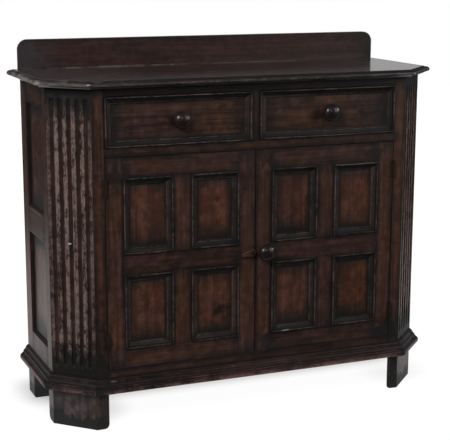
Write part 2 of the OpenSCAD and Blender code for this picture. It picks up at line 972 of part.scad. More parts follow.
// Leaf with knuckles at the given thirds of its height
module hinge_leaf(thirds) {
    difference() {
        union() {
            block([leaf_gap / 2, leaf_y, 0], [leaf_gap / 2 + leaf_t, leaf_y + leaf_w, hinge_h]);
            for (i = thirds) {
                low = i * knuckle_h + (i > 0 ? knuckle_play : 0);
                high = (i + 1) * knuckle_h - (i < 2 ? knuckle_play : 0);
                translate([0, 0, low])
                    cylinder(r = knuckle_r, h = high - low);
                block([leaf_gap / 2, 0, low], [leaf_gap / 2 + leaf_t, leaf_y + cut, high]);
            }
        }
        translate([0, 0, -cut])
            cylinder(r = pin_r + pin_fit, h = hinge_h + 2 * cut);
        hinge_screw(screw_fit);
    }
}

module carcass_hinge_leaves() {
    piece(iron)
        both_sides()
            at_hinges()
                mirrored()
                    hinge_leaf([0, 2]);
}

module hinge_pins() {
    piece(iron)
        both_sides()
            at_hinges() {
                translate([0, 0, -pin_over])
                    cylinder(r = pin_r, h = hinge_h + 2 * pin_over);
                translate([0, 0, hinge_h + knuckle_play])
                    cylinder(r = knuckle_r - knuckle_gap, h = pin_over);
            }
}

module carcass_hinge_screws() {
    piece(iron)
        both_sides()
            at_hinges()
                mirrored()
                    hinge_screw(0);
}

// Drawers

module drawer_front() {
    x1 = drawer_side_in + drawer_side_t + bottom_fit;
    y2 = frame_t - stop_gap;
    difference() {
        block([0, drawer_recess, z_drawer + drawer_gap], [drawer_w, y2, z_over - drawer_gap]);
        for (x = [-cut, drawer_w - x1])
            block([x, lap_y - bottom_fit, z_drawer - cut],
                [x + x1 + cut, y2 + cut, side_top + bottom_fit]);
        block([x1 - drawer_groove_d, y2 - drawer_groove_d, bottom_z - bottom_fit],
            [drawer_w - x1 + drawer_groove_d, y2 + cut, bottom_z + drawer_bottom_t + bottom_fit]);
        translate([drawer_w / 2, drawer_recess, z_drawer + drawer_open_h / 2])
            spigot_hole(drawer_front_t);
    }
}

module drawer_sides() {
    for (side = [0, 1]) {
        x = side == 0 ? drawer_side_in : drawer_w - drawer_side_in - drawer_side_t;
        groove = side == 0 ? x + drawer_side_t - drawer_groove_d : x - cut;
        difference() {
            block([x, lap_y, side_z], [x + drawer_side_t, drawer_end, side_top]);
            block([groove, lap_y - cut, bottom_z - bottom_fit], [groove + drawer_groove_d + cut,
                drawer_end + cut, bottom_z + drawer_bottom_t + bottom_fit]);
        }
    }
}

module drawer_back() {
    x = drawer_side_in + drawer_side_t;
    block([x, drawer_end - drawer_side_t, bottom_z + drawer_bottom_t + bottom_fit],
        [x + inner_w, drawer_end, side_top]);
}

module drawer_bottom() {
    x = drawer_side_in + drawer_side_t - drawer_groove_d + bottom_fit;
    block([x, frame_t - stop_gap - drawer_groove_d + bottom_fit, bottom_z],
        [drawer_w - x, drawer_end, bottom_z + drawer_bottom_t]);
}

module drawer_mouldings() {
    translate([0, 0, z_drawer + drawer_gap])
        mould_frame(drawer_w, drawer_h, drawer_recess);
}

module drawer_knob() {
    translate([drawer_w / 2, drawer_recess, z_drawer + drawer_open_h / 2])
        knob(drawer_front_t);
}

module left_drawer(finish) {
    piece(finish)
        translate([drawer_x, 0, 0])
            children();
}

module right_drawer(finish) {
    piece(finish)
        translate([drawer_muntin_w / 2 + drawer_gap, 0, 0])
            children();
}

module left_drawer_front() {
    left_drawer(panel_oak)
        drawer_front();
}

module left_drawer_mouldings() {
    left_drawer(black)
        drawer_mouldings();
}

module left_drawer_sides() {
    left_drawer(inner_oak)
        drawer_sides();
}

module left_drawer_back() {
    left_drawer(inner_oak)
        drawer_back();
}

module left_drawer_bottom() {
    left_drawer(inner_oak)
        drawer_bottom();
}

module left_drawer_knob() {
    left_drawer(knob_wood)
        drawer_knob();
}

module right_drawer_front() {
    right_drawer(panel_oak)
        drawer_front();
}

module right_drawer_mouldings() {
    right_drawer(black)
        drawer_mouldings();
}

module right_drawer_sides() {
    right_drawer(inner_oak)
        drawer_sides();
}

module right_drawer_back() {
    right_drawer(inner_oak)
        drawer_back();
}

module right_drawer_bottom() {
    right_drawer(inner_oak)
        drawer_bottom();
}

module right_drawer_knob() {
    right_drawer(knob_wood)
        drawer_knob();
}

// Doors: X runs from the hinged edge to the meeting edge, Z from the door's lower edge

module left_door(finish) {
    piece(finish)
        translate([hinge_gap - open_x, 0, z_door + door_gap])
            children();
}

module right_door(finish) {
    piece(finish)
        mirrored()
            translate([hinge_gap - open_x, 0, z_door + door_gap])
                children();
}

module hinge_stile() {
    difference() {
        block([0, 0, 0], [door_stile_w, door_t, door_h]);
        block([door_stile_w - groove_d, groove_y, -cut],
            [door_stile_w + cut, groove_y + groove_w, door_h + cut]);
        translate([open_x - hinge_gap, 0, -z_door - door_gap])
            hinge_cuts(1);
    }
}

module meeting_stile() {
    x = door_w - door_stile_w;
    difference() {
        block([x, 0, 0], [door_w, door_t, door_h]);
        block([x - cut, groove_y, -cut], [x + groove_d, groove_y + groove_w, door_h + cut]);
    }
}

// Waste beside the bead on the meeting edge
module bead_waste() {
    block([door_w - bead_w - bead_groove, -cut, -cut], [door_w - bead_w, bead_groove, door_h + cut]);
    difference() {
        block([door_w - bead_w, -cut, -cut], [door_w + cut, bead_r, door_h + cut]);
        translate([door_w - bead_r, bead_r, -2 * cut])
            cylinder(r = bead_r, h = door_h + 4 * cut);
    }
}

module door_rails() {
    for (i = [0:2])
        translate([door_stile_w, 0, door_rail_zs[i]])
            frame_rail(door_rail_l, door_rail_hs[i], door_t, i > 0, i < 2, 0);
}

module door_muntins() {
    for (z = door_panel_zs)
        translate([door_stile_w + door_panel_w, 0, z])
            frame_muntin(door_muntin_w, door_panel_h, door_t);
}

module door_panels() {
    for (x = door_panel_xs)
        for (z = door_panel_zs)
            translate([x, 0, z])
                frame_panel(door_panel_w, door_panel_h, true);
}

module door_mouldings() {
    for (x = door_panel_xs)
        for (z = door_panel_zs)
            translate([x, 0, z])
                mould_frame(door_panel_w, door_panel_h, panel_recess);
}

module left_door_stiles() {
    left_door(oak) {
        hinge_stile();
        difference() {
            meeting_stile();
            translate([door_w - button_in, 0, lock_z + button_up])
                button_screw(screw_fit);
        }
    }
}

module left_door_rails() {
    left_door(oak)
        door_rails();
}

module left_door_muntins() {
    left_door(oak)
        door_muntins();
}

module left_door_panels() {
    left_door(panel_oak)
        door_panels();
}

module left_door_mouldings() {
    left_door(black)
        door_mouldings();
}

module left_door_hinge_leaves() {
    piece(iron)
        at_hinges()
            hinge_leaf([1]);
}

module left_door_hinge_screws() {
    piece(iron)
        at_hinges()
            hinge_screw(0);
}

module right_door_stiles() {
    right_door(oak) {
        hinge_stile();
        difference() {
            meeting_stile();
            bead_waste();
            translate([door_w - door_stile_w / 2, 0, lock_z + door_knob_up])
                spigot_hole(door_t);
        }
    }
}

module right_door_rails() {
    right_door(oak)
        door_rails();
}

module right_door_muntins() {
    right_door(oak)
        door_muntins();
}

module right_door_panels() {
    right_door(panel_oak)
        door_panels();
}

module right_door_mouldings() {
    right_door(black)
        door_mouldings();
}

module right_door_hinge_leaves() {
    piece(iron)
        mirrored()
            at_hinges()
                hinge_leaf([1]);
}

module right_door_hinge_screws() {
    piece(iron)
        mirrored()
            at_hinges()
                hinge_screw(0);
}

module right_door_knob() {
    right_door(knob_wood)
        translate([door_w - door_stile_w / 2, 0, lock_z + door_knob_up])
            knob(door_t);
}

// Turn button: its pivot screw stands in the left door, a washer keeps it off the wood

module button_screw(fit) {
    rotate([90, 0, 0]) {
        translate([0, 0, -screw_l - fit])
            cylinder(r = button_screw_r + fit, h = screw_l + fit - button_y + button_t + play);
        translate([0, 0, -button_y + button_t + play])
            rotate_extrude()
                polygon([[0, 0], [button_head_r, 0], [button_head_r * 0.92, 1], [button_head_r * 0.6, 2],
                    [0, 2.5]]);
    }
}

module turn_button_screw() {
    left_door(iron)
        translate([door_w - button_in, 0, lock_z + button_up]) {
            button_screw(0);
            rotate([90, 0, 0])
                difference() {
                    cylinder(r = button_head_r + 1.5, h = washer_t);
                    translate([0, 0, -cut])
                        cylinder(r = button_screw_r + play, h = washer_t + 2 * cut);
                }
        }
}

function arc(centre, r, from, to, steps) = [
    for (i = [0:steps]) let (a = from + (to - from) * i / steps) centre + r * [cos(a), sin(a)]
];

module turn_button() {
    way = 180 + button_tilt;
    spread = acos((button_r - button_tip_r) / button_l);
    tip = button_l * [cos(way), sin(way)];
    left_door(button_wood)
        translate([door_w - button_in, button_y, lock_z + button_up])
            rotate([90, 0, 0])
                difference() {
                    linear_extrude(button_t)
                        polygon(concat(
                            arc([0, 0], button_r, way + spread, way + 360 - spread, 24),
                            arc(tip, button_tip_r, way - spread, way + spread, 12)
                        ));
                    translate([0, 0, -cut])
                        cylinder(r = button_screw_r + pin_fit, h = button_t + 2 * cut);
                }
}

top_board();
gallery_board();
left_fluted_corner();
right_fluted_corner();
front_stiles();
top_rail();
middle_rail();
bottom_rail();
drawer_muntin();
side_stiles();
side_rails();
side_panels();
rear_rails();
back_boards();
back_nails();
floor_board();
shelf();
board_battens();
drawer_runners();
drawer_guides();
drawer_kickers();
door_stop_strip();
plinth_front_moulding();
plinth_corner_mouldings();
plinth_side_mouldings();
front_left_foot();
front_right_foot();
rear_feet();
carcass_hinge_leaves();
hinge_pins();
carcass_hinge_screws();
left_drawer_front();
left_drawer_mouldings();
left_drawer_sides();
left_drawer_back();
left_drawer_bottom();
left_drawer_knob();
right_drawer_front();
right_drawer_mouldings();
right_drawer_sides();
right_drawer_back();
right_drawer_bottom();
right_drawer_knob();
left_door_stiles();
left_door_rails();
left_door_muntins();
left_door_panels();
left_door_mouldings();
left_door_hinge_leaves();
left_door_hinge_screws();
turn_button_screw();
turn_button();
right_door_stiles();
right_door_rails();
right_door_muntins();
right_door_panels();
right_door_mouldings();
right_door_hinge_leaves();
right_door_hinge_screws();
right_door_knob();
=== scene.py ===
import json
import math
import random

import bmesh
import bpy
from mathutils import Matrix, Vector, noise


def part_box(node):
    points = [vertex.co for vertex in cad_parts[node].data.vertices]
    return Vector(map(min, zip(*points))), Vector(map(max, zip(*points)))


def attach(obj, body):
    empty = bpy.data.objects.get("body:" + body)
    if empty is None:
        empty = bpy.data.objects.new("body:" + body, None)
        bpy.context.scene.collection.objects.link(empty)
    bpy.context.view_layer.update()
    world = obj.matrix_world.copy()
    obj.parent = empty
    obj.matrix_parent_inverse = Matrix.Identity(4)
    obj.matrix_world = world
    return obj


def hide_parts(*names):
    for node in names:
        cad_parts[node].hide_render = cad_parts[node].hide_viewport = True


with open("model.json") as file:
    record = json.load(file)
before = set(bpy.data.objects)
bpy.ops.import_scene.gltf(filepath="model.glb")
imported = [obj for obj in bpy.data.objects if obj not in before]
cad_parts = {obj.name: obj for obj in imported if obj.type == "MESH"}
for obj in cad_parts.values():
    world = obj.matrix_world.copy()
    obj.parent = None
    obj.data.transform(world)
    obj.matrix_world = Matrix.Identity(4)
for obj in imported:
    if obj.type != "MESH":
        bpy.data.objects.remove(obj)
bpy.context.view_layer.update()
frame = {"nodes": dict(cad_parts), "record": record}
print("frame loaded")

# places read off the construction, in metres
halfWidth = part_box("side_stiles")[1].x
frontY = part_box("front_stiles")[0].y
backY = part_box("side_stiles")[1].y
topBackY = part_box("top_board")[1].y
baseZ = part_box("bottom_rail")[0].z
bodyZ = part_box("top_rail")[1].z
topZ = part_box("top_board")[1].z
cornerCut = 0.093  # leg of the 45 degree cut at each front corner
boardThick = 0.022
weld = 1e-6  # vertices closer than this are one
bodyOf = {node: body for body, nodes in frame["record"]["behaviour"]["bodies"].items() for node in nodes}
# both seeded, so that every run draws the same shapes
dice = random.Random(7)
noise.seed_set(7)


# Shader wires

class Wire:
    # a socket that can stand in Python maths
    def __init__(self, painter, socket):
        self.painter = painter
        self.socket = socket

    def maths(self, operation, first, second):
        return self.painter.add("ShaderNodeMath", {"operation": operation}, {0: first, 1: second})

    def __add__(self, other):
        return self.maths("ADD", self, other)

    def __radd__(self, other):
        return self.maths("ADD", other, self)

    def __sub__(self, other):
        return self.maths("SUBTRACT", self, other)

    def __rsub__(self, other):
        return self.maths("SUBTRACT", other, self)

    def __mul__(self, other):
        return self.maths("MULTIPLY", self, other)

    def __rmul__(self, other):
        return self.maths("MULTIPLY", other, self)

    def __abs__(self):
        return self.maths("ABSOLUTE", self, 0.0)


def colourOf(value):
    return value if isinstance(value, Wire) else (*value, 1)


class Painter:
    # the nodes of one material or world, and the few ways they are made
    def __init__(self, owner):
        owner.use_nodes = True
        self.owner = owner
        self.tree = owner.node_tree
        self.tree.nodes.clear()

    def add(self, kind, settings=None, sockets=None, output=0):
        made = self.tree.nodes.new(kind)
        for key, value in (settings or {}).items():
            setattr(made, key, value)
        for key, value in (sockets or {}).items():
            if isinstance(value, Wire):
                self.tree.links.new(value.socket, made.inputs[key])
            else:
                made.inputs[key].default_value = value
        return Wire(self, made.outputs[output]) if made.outputs else made

    def attribute(self, name, output="Vector"):
        return self.add("ShaderNodeAttribute", {"attribute_name": name}, {}, output)

    def position(self, output="Object"):
        return self.add("ShaderNodeTexCoord", {}, {}, output)

    def rays(self, kind):
        return self.add("ShaderNodeLightPath", {}, {}, "Is %s Ray" % kind)

    def vector(self, operation, first, second):
        key = "Scale" if operation == "SCALE" else 1
        output = "Value" if operation in ("LENGTH", "DOT_PRODUCT") else "Vector"
        return self.add("ShaderNodeVectorMath", {"operation": operation}, {0: first, key: second}, output)

    def split(self, vector):
        outputs = self.add("ShaderNodeSeparateXYZ", {}, {0: vector}).socket.node.outputs
        return [Wire(self, outputs[i]) for i in range(3)]

    def join(self, x, y, z):
        return self.add("ShaderNodeCombineXYZ", {}, {0: x, 1: y, 2: z})

    def noise(self, vector, scale, detail=2.0, rough=0.5):
        sockets = {"Vector": vector, "Scale": scale, "Detail": detail, "Roughness": rough}
        return self.add("ShaderNodeTexNoise", {}, sockets)

    def fade(self, value, low, high, start=0.0, end=1.0):
        # smooth step from start to end while value goes from low to high
        sockets = {"Value": value, "From Min": low, "From Max": high, "To Min": start, "To Max": end}
        return self.add("ShaderNodeMapRange", {"interpolation_type": "SMOOTHSTEP"}, sockets)

    def blend(self, factor, first, second):
        sockets = {0: factor, 6: colourOf(first), 7: colourOf(second)}
        return self.add("ShaderNodeMix", {"data_type": "RGBA"}, sockets, 2)

    def finish(self, sockets):
        shader = self.add("ShaderNodeBsdfPrincipled", {}, sockets)
        self.add("ShaderNodeOutputMaterial", {}, {"Surface": shader})
        return self.owner


# Finishes. dark, warm and amber are the stain from the corners to the rubbed middle, pale is bare
# wood. across, low and high say where the dark edge ends and the rubbed middle begins, in metres
# from the board's side edges and from its low and high ends. What a wood leaves out is common
woodCommon = {
    "across": (-1.0, -0.5), "ragged": 0.05, "rough": 0.42, "gloss": 0.25, "figure": 0.05, "line": 0.3,
    "hues": ((1.06, 1.0, 0.88), (0.96, 0.96, 1.20))}
woodLooks = {
    "frameWood": {
        "dark": (0.0085, 0.0062, 0.0056), "warm": (0.0390, 0.0172, 0.0118),
        "amber": (0.0740, 0.0325, 0.0198), "pale": (0.085, 0.047, 0.036), "across": (-0.003, 0.014),
        "low": (-0.01, 0.045), "high": (-0.01, 0.045), "rub": (0.10, 0.52), "wear": 0.45, "rough": 0.45,
        "coat": 0.12, "coatRough": 0.32, "figure": 0.07, "line": 0.42},
    # on the panels the dark margin inside the mouldings is stain and painted shade under the mouldings
    "panelWood": {
        "dark": (0.0085, 0.0064, 0.0056), "warm": (0.0485, 0.0200, 0.0128),
        "amber": (0.0950, 0.0385, 0.0205), "pale": (0.080, 0.045, 0.032), "across": (0.021, 0.044),
        "low": (0.022, 0.085), "high": (0.020, 0.062), "ragged": 0.026, "rub": (0.05, 0.50), "wear": 0.15,
        "coat": 0.15, "coatRough": 0.28, "figure": 0.08, "line": 0.24},
    "drawerWood": {
        "dark": (0.0090, 0.0066, 0.0060), "warm": (0.0520, 0.0232, 0.0150),
        "amber": (0.1040, 0.0455, 0.0255), "pale": (0.080, 0.048, 0.036), "across": (0.012, 0.032),
        "low": (0.012, 0.075), "high": (0.012, 0.075), "ragged": 0.03, "rub": (0.12, 0.62), "wear": 0.25,
        "coat": 0.15, "coatRough": 0.28, "line": 0.12},
    # on the mouldings pale is both bare wood and the painted highlight of the bead and inner edge
    "mouldingWood": {
        "dark": (0.0050, 0.0045, 0.0041), "warm": (0.0116, 0.0083, 0.0069),
        "amber": (0.0350, 0.0180, 0.0130), "pale": (0.135, 0.112, 0.100), "low": (0.0, 0.03),
        "high": (0.0, 0.03), "ragged": 0.03, "rub": (0.32, 0.62), "wear": 0.85, "rough": 0.55,
        "gloss": 0.22, "coat": 0.04, "coatRough": 0.35, "figure": 0.04},
    "flutedWood": {
        "dark": (0.0064, 0.0057, 0.0053), "warm": (0.0205, 0.0112, 0.0090),
        "amber": (0.0420, 0.0212, 0.0155), "pale": (0.186, 0.128, 0.110), "low": (0.085, 0.135),
        "high": (0.030, 0.110), "ragged": 0.09, "rub": (0.20, 0.62), "wear": 1.0, "rough": 0.40,
        "gloss": 0.14, "coat": 0.03, "coatRough": 0.30, "line": 0.4},
    "topWood": {
        "dark": (0.0150, 0.0118, 0.0114), "warm": (0.0500, 0.0275, 0.0222),
        "amber": (0.0840, 0.0450, 0.0340), "pale": (0.175, 0.140, 0.120), "across": (-0.01, 0.02),
        "low": (-0.06, 0.01), "high": (-0.01, 0.06), "rub": (0.25, 0.70), "wear": 0.9, "rough": 0.34,
        "gloss": 0.30, "coat": 0.75, "coatRough": 0.10, "figure": 0.08},
    "galleryWood": {
        "dark": (0.0110, 0.0080, 0.0078), "warm": (0.0350, 0.0140, 0.0108),
        "amber": (0.0560, 0.0215, 0.0155), "pale": (0.110, 0.080, 0.065), "across": (-0.01, 0.02),
        "low": (0.0, 0.12), "high": (0.0, 0.09), "ragged": 0.06, "rub": (0.18, 0.60), "wear": 0.5,
        "gloss": 0.22, "coat": 0.13, "coatRough": 0.25, "figure": 0.08, "line": 0.22},
    "plinthWood": {
        "dark": (0.0078, 0.0066, 0.0062), "warm": (0.0370, 0.0155, 0.0132),
        "amber": (0.0640, 0.0255, 0.0212), "pale": (0.185, 0.094, 0.084), "low": (0.0, 0.05),
        "high": (0.0, 0.05), "lean": (-0.011, 0.0), "rub": (0.30, 0.70), "wear": 0.9, "rough": 0.40,
        "gloss": 0.20, "coat": 0.06, "coatRough": 0.30, "line": 0.5},
    "footWood": {
        "dark": (0.0080, 0.0075, 0.0071), "warm": (0.0200, 0.0138, 0.0115),
        "amber": (0.0660, 0.0460, 0.0380), "pale": (0.095, 0.068, 0.056), "low": (0.031, 0.038),
        "high": (-0.02, 0.012), "ragged": 0.06, "rub": (0.30, 0.50), "wear": 0.5, "rough": 0.46,
        "coat": 0.06, "coatRough": 0.35, "figure": 0.06, "line": 0.45},
    "knobWood": {
        "dark": (0.0075, 0.0052, 0.0048), "warm": (0.0230, 0.0118, 0.0098),
        "amber": (0.0370, 0.0180, 0.0142), "pale": (0.040, 0.026, 0.021), "low": (-1.0, -0.5),
        "high": (-1.0, -0.5), "ragged": 0.0, "rub": (0.35, 0.75), "wear": 0.3, "gloss": 0.20, "coat": 0.34,
        "coatRough": 0.09, "line": 0.2},
    "buttonWood": {
        "dark": (0.0160, 0.0085, 0.0060), "warm": (0.0600, 0.0270, 0.0165),
        "amber": (0.0900, 0.0450, 0.0280), "pale": (0.150, 0.095, 0.065), "across": (0.0, 0.004),
        "low": (0.0, 0.006), "high": (0.0, 0.006), "ragged": 0.004, "rub": (0.2, 0.6), "wear": 0.8,
        "rough": 0.46, "coat": 0.1, "coatRough": 0.25, "figure": 0.1, "line": 0.4},
    "innerWood": {
        "dark": (0.105, 0.066, 0.040), "warm": (0.200, 0.125, 0.073), "amber": (0.260, 0.168, 0.100),
        "pale": (0.300, 0.200, 0.125), "across": (-0.01, 0.012), "low": (-0.01, 0.05),
        "high": (-0.01, 0.05), "ragged": 0.06, "rub": (0.20, 0.65), "wear": 0.35, "rough": 0.70,
        "gloss": 0.3, "coat": 0.0, "coatRough": 0.4, "figure": 0.16},
}

# Marks: dark knots and stains, pale chips and scratches, and some painted sheen, highlight and shade.
# Each is a ragged oval: its middle, its half sizes in the three directions, its tint and its strength, in
# metres
marks = {
    "drawerWood": [
        ((0.311, -0.17, 0.803), (0.026, 1, 0.019), (0.011, 0.0065, 0.0055), 0.8),
        ((-0.211, -0.17, 0.802), (0.050, 1, 0.036), (0.011, 0.0085, 0.0072), 0.7),
        ((0.205, -0.17, 0.800), (0.056, 1, 0.036), (0.011, 0.0080, 0.0072), 0.7),
        ((0.380, -0.17, 0.800), (0.036, 1, 0.050), (0.009, 0.0080, 0.0085), 0.6)],
    "panelWood": [
        # this one darkens the upper part of the left side panel
        ((-0.535, 0.04, 0.700), (0.04, 0.13, 0.170), (0.020, 0.012, 0.010), 0.7),
        ((-0.092, -0.17, 0.285), (0.036, 1, 0.026), (0.009, 0.006, 0.005), 0.85),
        ((-0.300, -0.17, 0.330), (0.020, 1, 0.024), (0.015, 0.007, 0.006), 0.6),
        ((-0.112, -0.17, 0.590), (0.018, 1, 0.012), (0.014, 0.008, 0.006), 0.6)],
    "frameWood": [
        ((-0.438, -0.18, 0.150), (0.060, 1, 0.190), (0.0070, 0.0066, 0.0060), 0.95),
        ((-0.385, -0.18, 0.665), (0.050, 1, 0.045), (0.0075, 0.007, 0.0062), 0.8),
        # these two draw pale lines along the sills of the left side's rails
        ((-0.54, 0.05, 0.547), (0.03, 0.16, 0.0024), (0.15, 0.14, 0.13), 0.7),
        ((-0.54, 0.05, 0.482), (0.03, 0.16, 0.0024), (0.15, 0.14, 0.13), 0.7),
        ((0.040, -0.18, 0.690), (0.030, 1, 0.036), (0.007, 0.006, 0.007), 0.8),
        ((0.357, -0.18, 0.684), (0.040, 1, 0.028), (0.007, 0.006, 0.006), 0.75),
        ((0.405, -0.18, 0.175), (0.085, 1, 0.065), (0.007, 0.006, 0.006), 1.0),
        ((0.418, -0.18, 0.735), (0.018, 1, 0.032), (0.007, 0.006, 0.006), 0.7),
        ((0.026, -0.18, 0.190), (0.040, 1, 0.046), (0.007, 0.006, 0.006), 0.75),
        ((-0.035, -0.18, 0.640), (0.026, 1, 0.060), (0.008, 0.006, 0.006), 0.6)],
    "mouldingWood": [
        ((0.088, -0.18, 0.213), (0.013, 1, 0.003), (0.30, 0.28, 0.26), 0.75)],
    "plinthWood": [
        ((-0.404, -0.2, 0.1315), (0.010, 1, 0.0020), (0.16, 0.13, 0.12), 0.7),
        ((-0.065, -0.2, 0.1315), (0.007, 1, 0.0020), (0.16, 0.13, 0.12), 0.7),
        ((0.182, -0.2, 0.1085), (0.008, 1, 0.0024), (0.16, 0.12, 0.11), 0.7)],
    "flutedWood": [
        ((-0.495, -0.13, 0.120), (0.12, 0.12, 0.185), (0.0055, 0.0052, 0.0048), 1.0),
        ((-0.496, -0.13, 0.4945), (0.0060, 1, 0.0028), (0.60, 0.60, 0.58), 1.0)],
    "footWood": [
        # painted shade on the right front foot: its front face and its upper end under the plinth
        ((0.440, -0.176, 0.050), (0.052, 0.022, 0.150), (0.0066, 0.0062, 0.0056), 1.0),
        ((0.500, -0.130, 0.095), (0.080, 0.080, 0.030), (0.0066, 0.0062, 0.0056), 0.8)],
    "topWood": [
        # a painted bluish sheen over the left end of the top
        ((-0.460, 0.05, 0.914), (0.230, 0.3, 0.1), (0.080, 0.070, 0.078), 0.8),
        ((-0.570, 0.03, 0.903), (0.016, 0.22, 0.014), (0.26, 0.22, 0.20), 0.8)],
    "galleryWood": [
        # a painted bluish-grey sheen on the left end of the gallery
        ((-0.520, 0.17, 0.940), (0.100, 1, 0.080), (0.034, 0.027, 0.029), 0.75),
        # two pale lines along the foot of the gallery, painted as the highlight of its worn lower edge
        ((-0.26, 0.19, 0.9150), (0.27, 1, 0.0030), (0.105, 0.095, 0.088), 0.8),
        ((0.16, 0.19, 0.9150), (0.26, 1, 0.0026), (0.085, 0.075, 0.070), 0.7)],
}
markEdge = {"inner": 0.15, "outer": 1.0, "blotch": 2.2, "mottle": 1.6, "line": 0.8}

# How the grain is drawn in every wood. A noise that is stretched along the grain has its scales
# along and across it, its detail and its roughness, and an even one has one scale
grainLook = {
    "streak": (3.0, 75.0, 4.0, 0.62), "line": (9.0, 330.0, 2.0, 0.6), "fibre": (30.0, 900.0, 2.0, 0.5),
    "pore": (85.0, 1500.0, 1.0, 0.5), "sway": (2.2, 16.0, 3.0, 0.6), "patch": (13.0, 3.0, 0.6),
    "blotch": (42.0, 3.0, 0.6), "drift": (7.0, 2.0, 0.5), "mottle": (260.0, 3.0, 0.65),
    "apart": 9.0,  # how far apart in the noise two boards lie
    "poreEdge": (0.60, 0.72), "poreDark": 0.4, "lineEdge": (0.50, 0.68), "driftEdge": (0.40, 0.60),
    "brightEdge": (0.42, 0.66), "bareEdge": (0.42, 0.58), "bareAtEnds": 0.12, "mottleStretch": 0.45,
    "heartShift": 0.10, "heartDeep": 0.02, "heartDrift": 0.05, "ringsPerMetre": 150.0,
    "level": 0.94, "toneShade": 0.56, "fibreShade": 0.6, "blotchShade": 0.8,
    "grimeAndShadeStart": -0.8, "grimeAndShadeCover": 0.85, "bump": 0.55, "bumpDeep": 0.0006,
}
# the colour of grime and of painted shade in the grooves
grimeAndShadeTint = (0.0050, 0.0046, 0.0042)


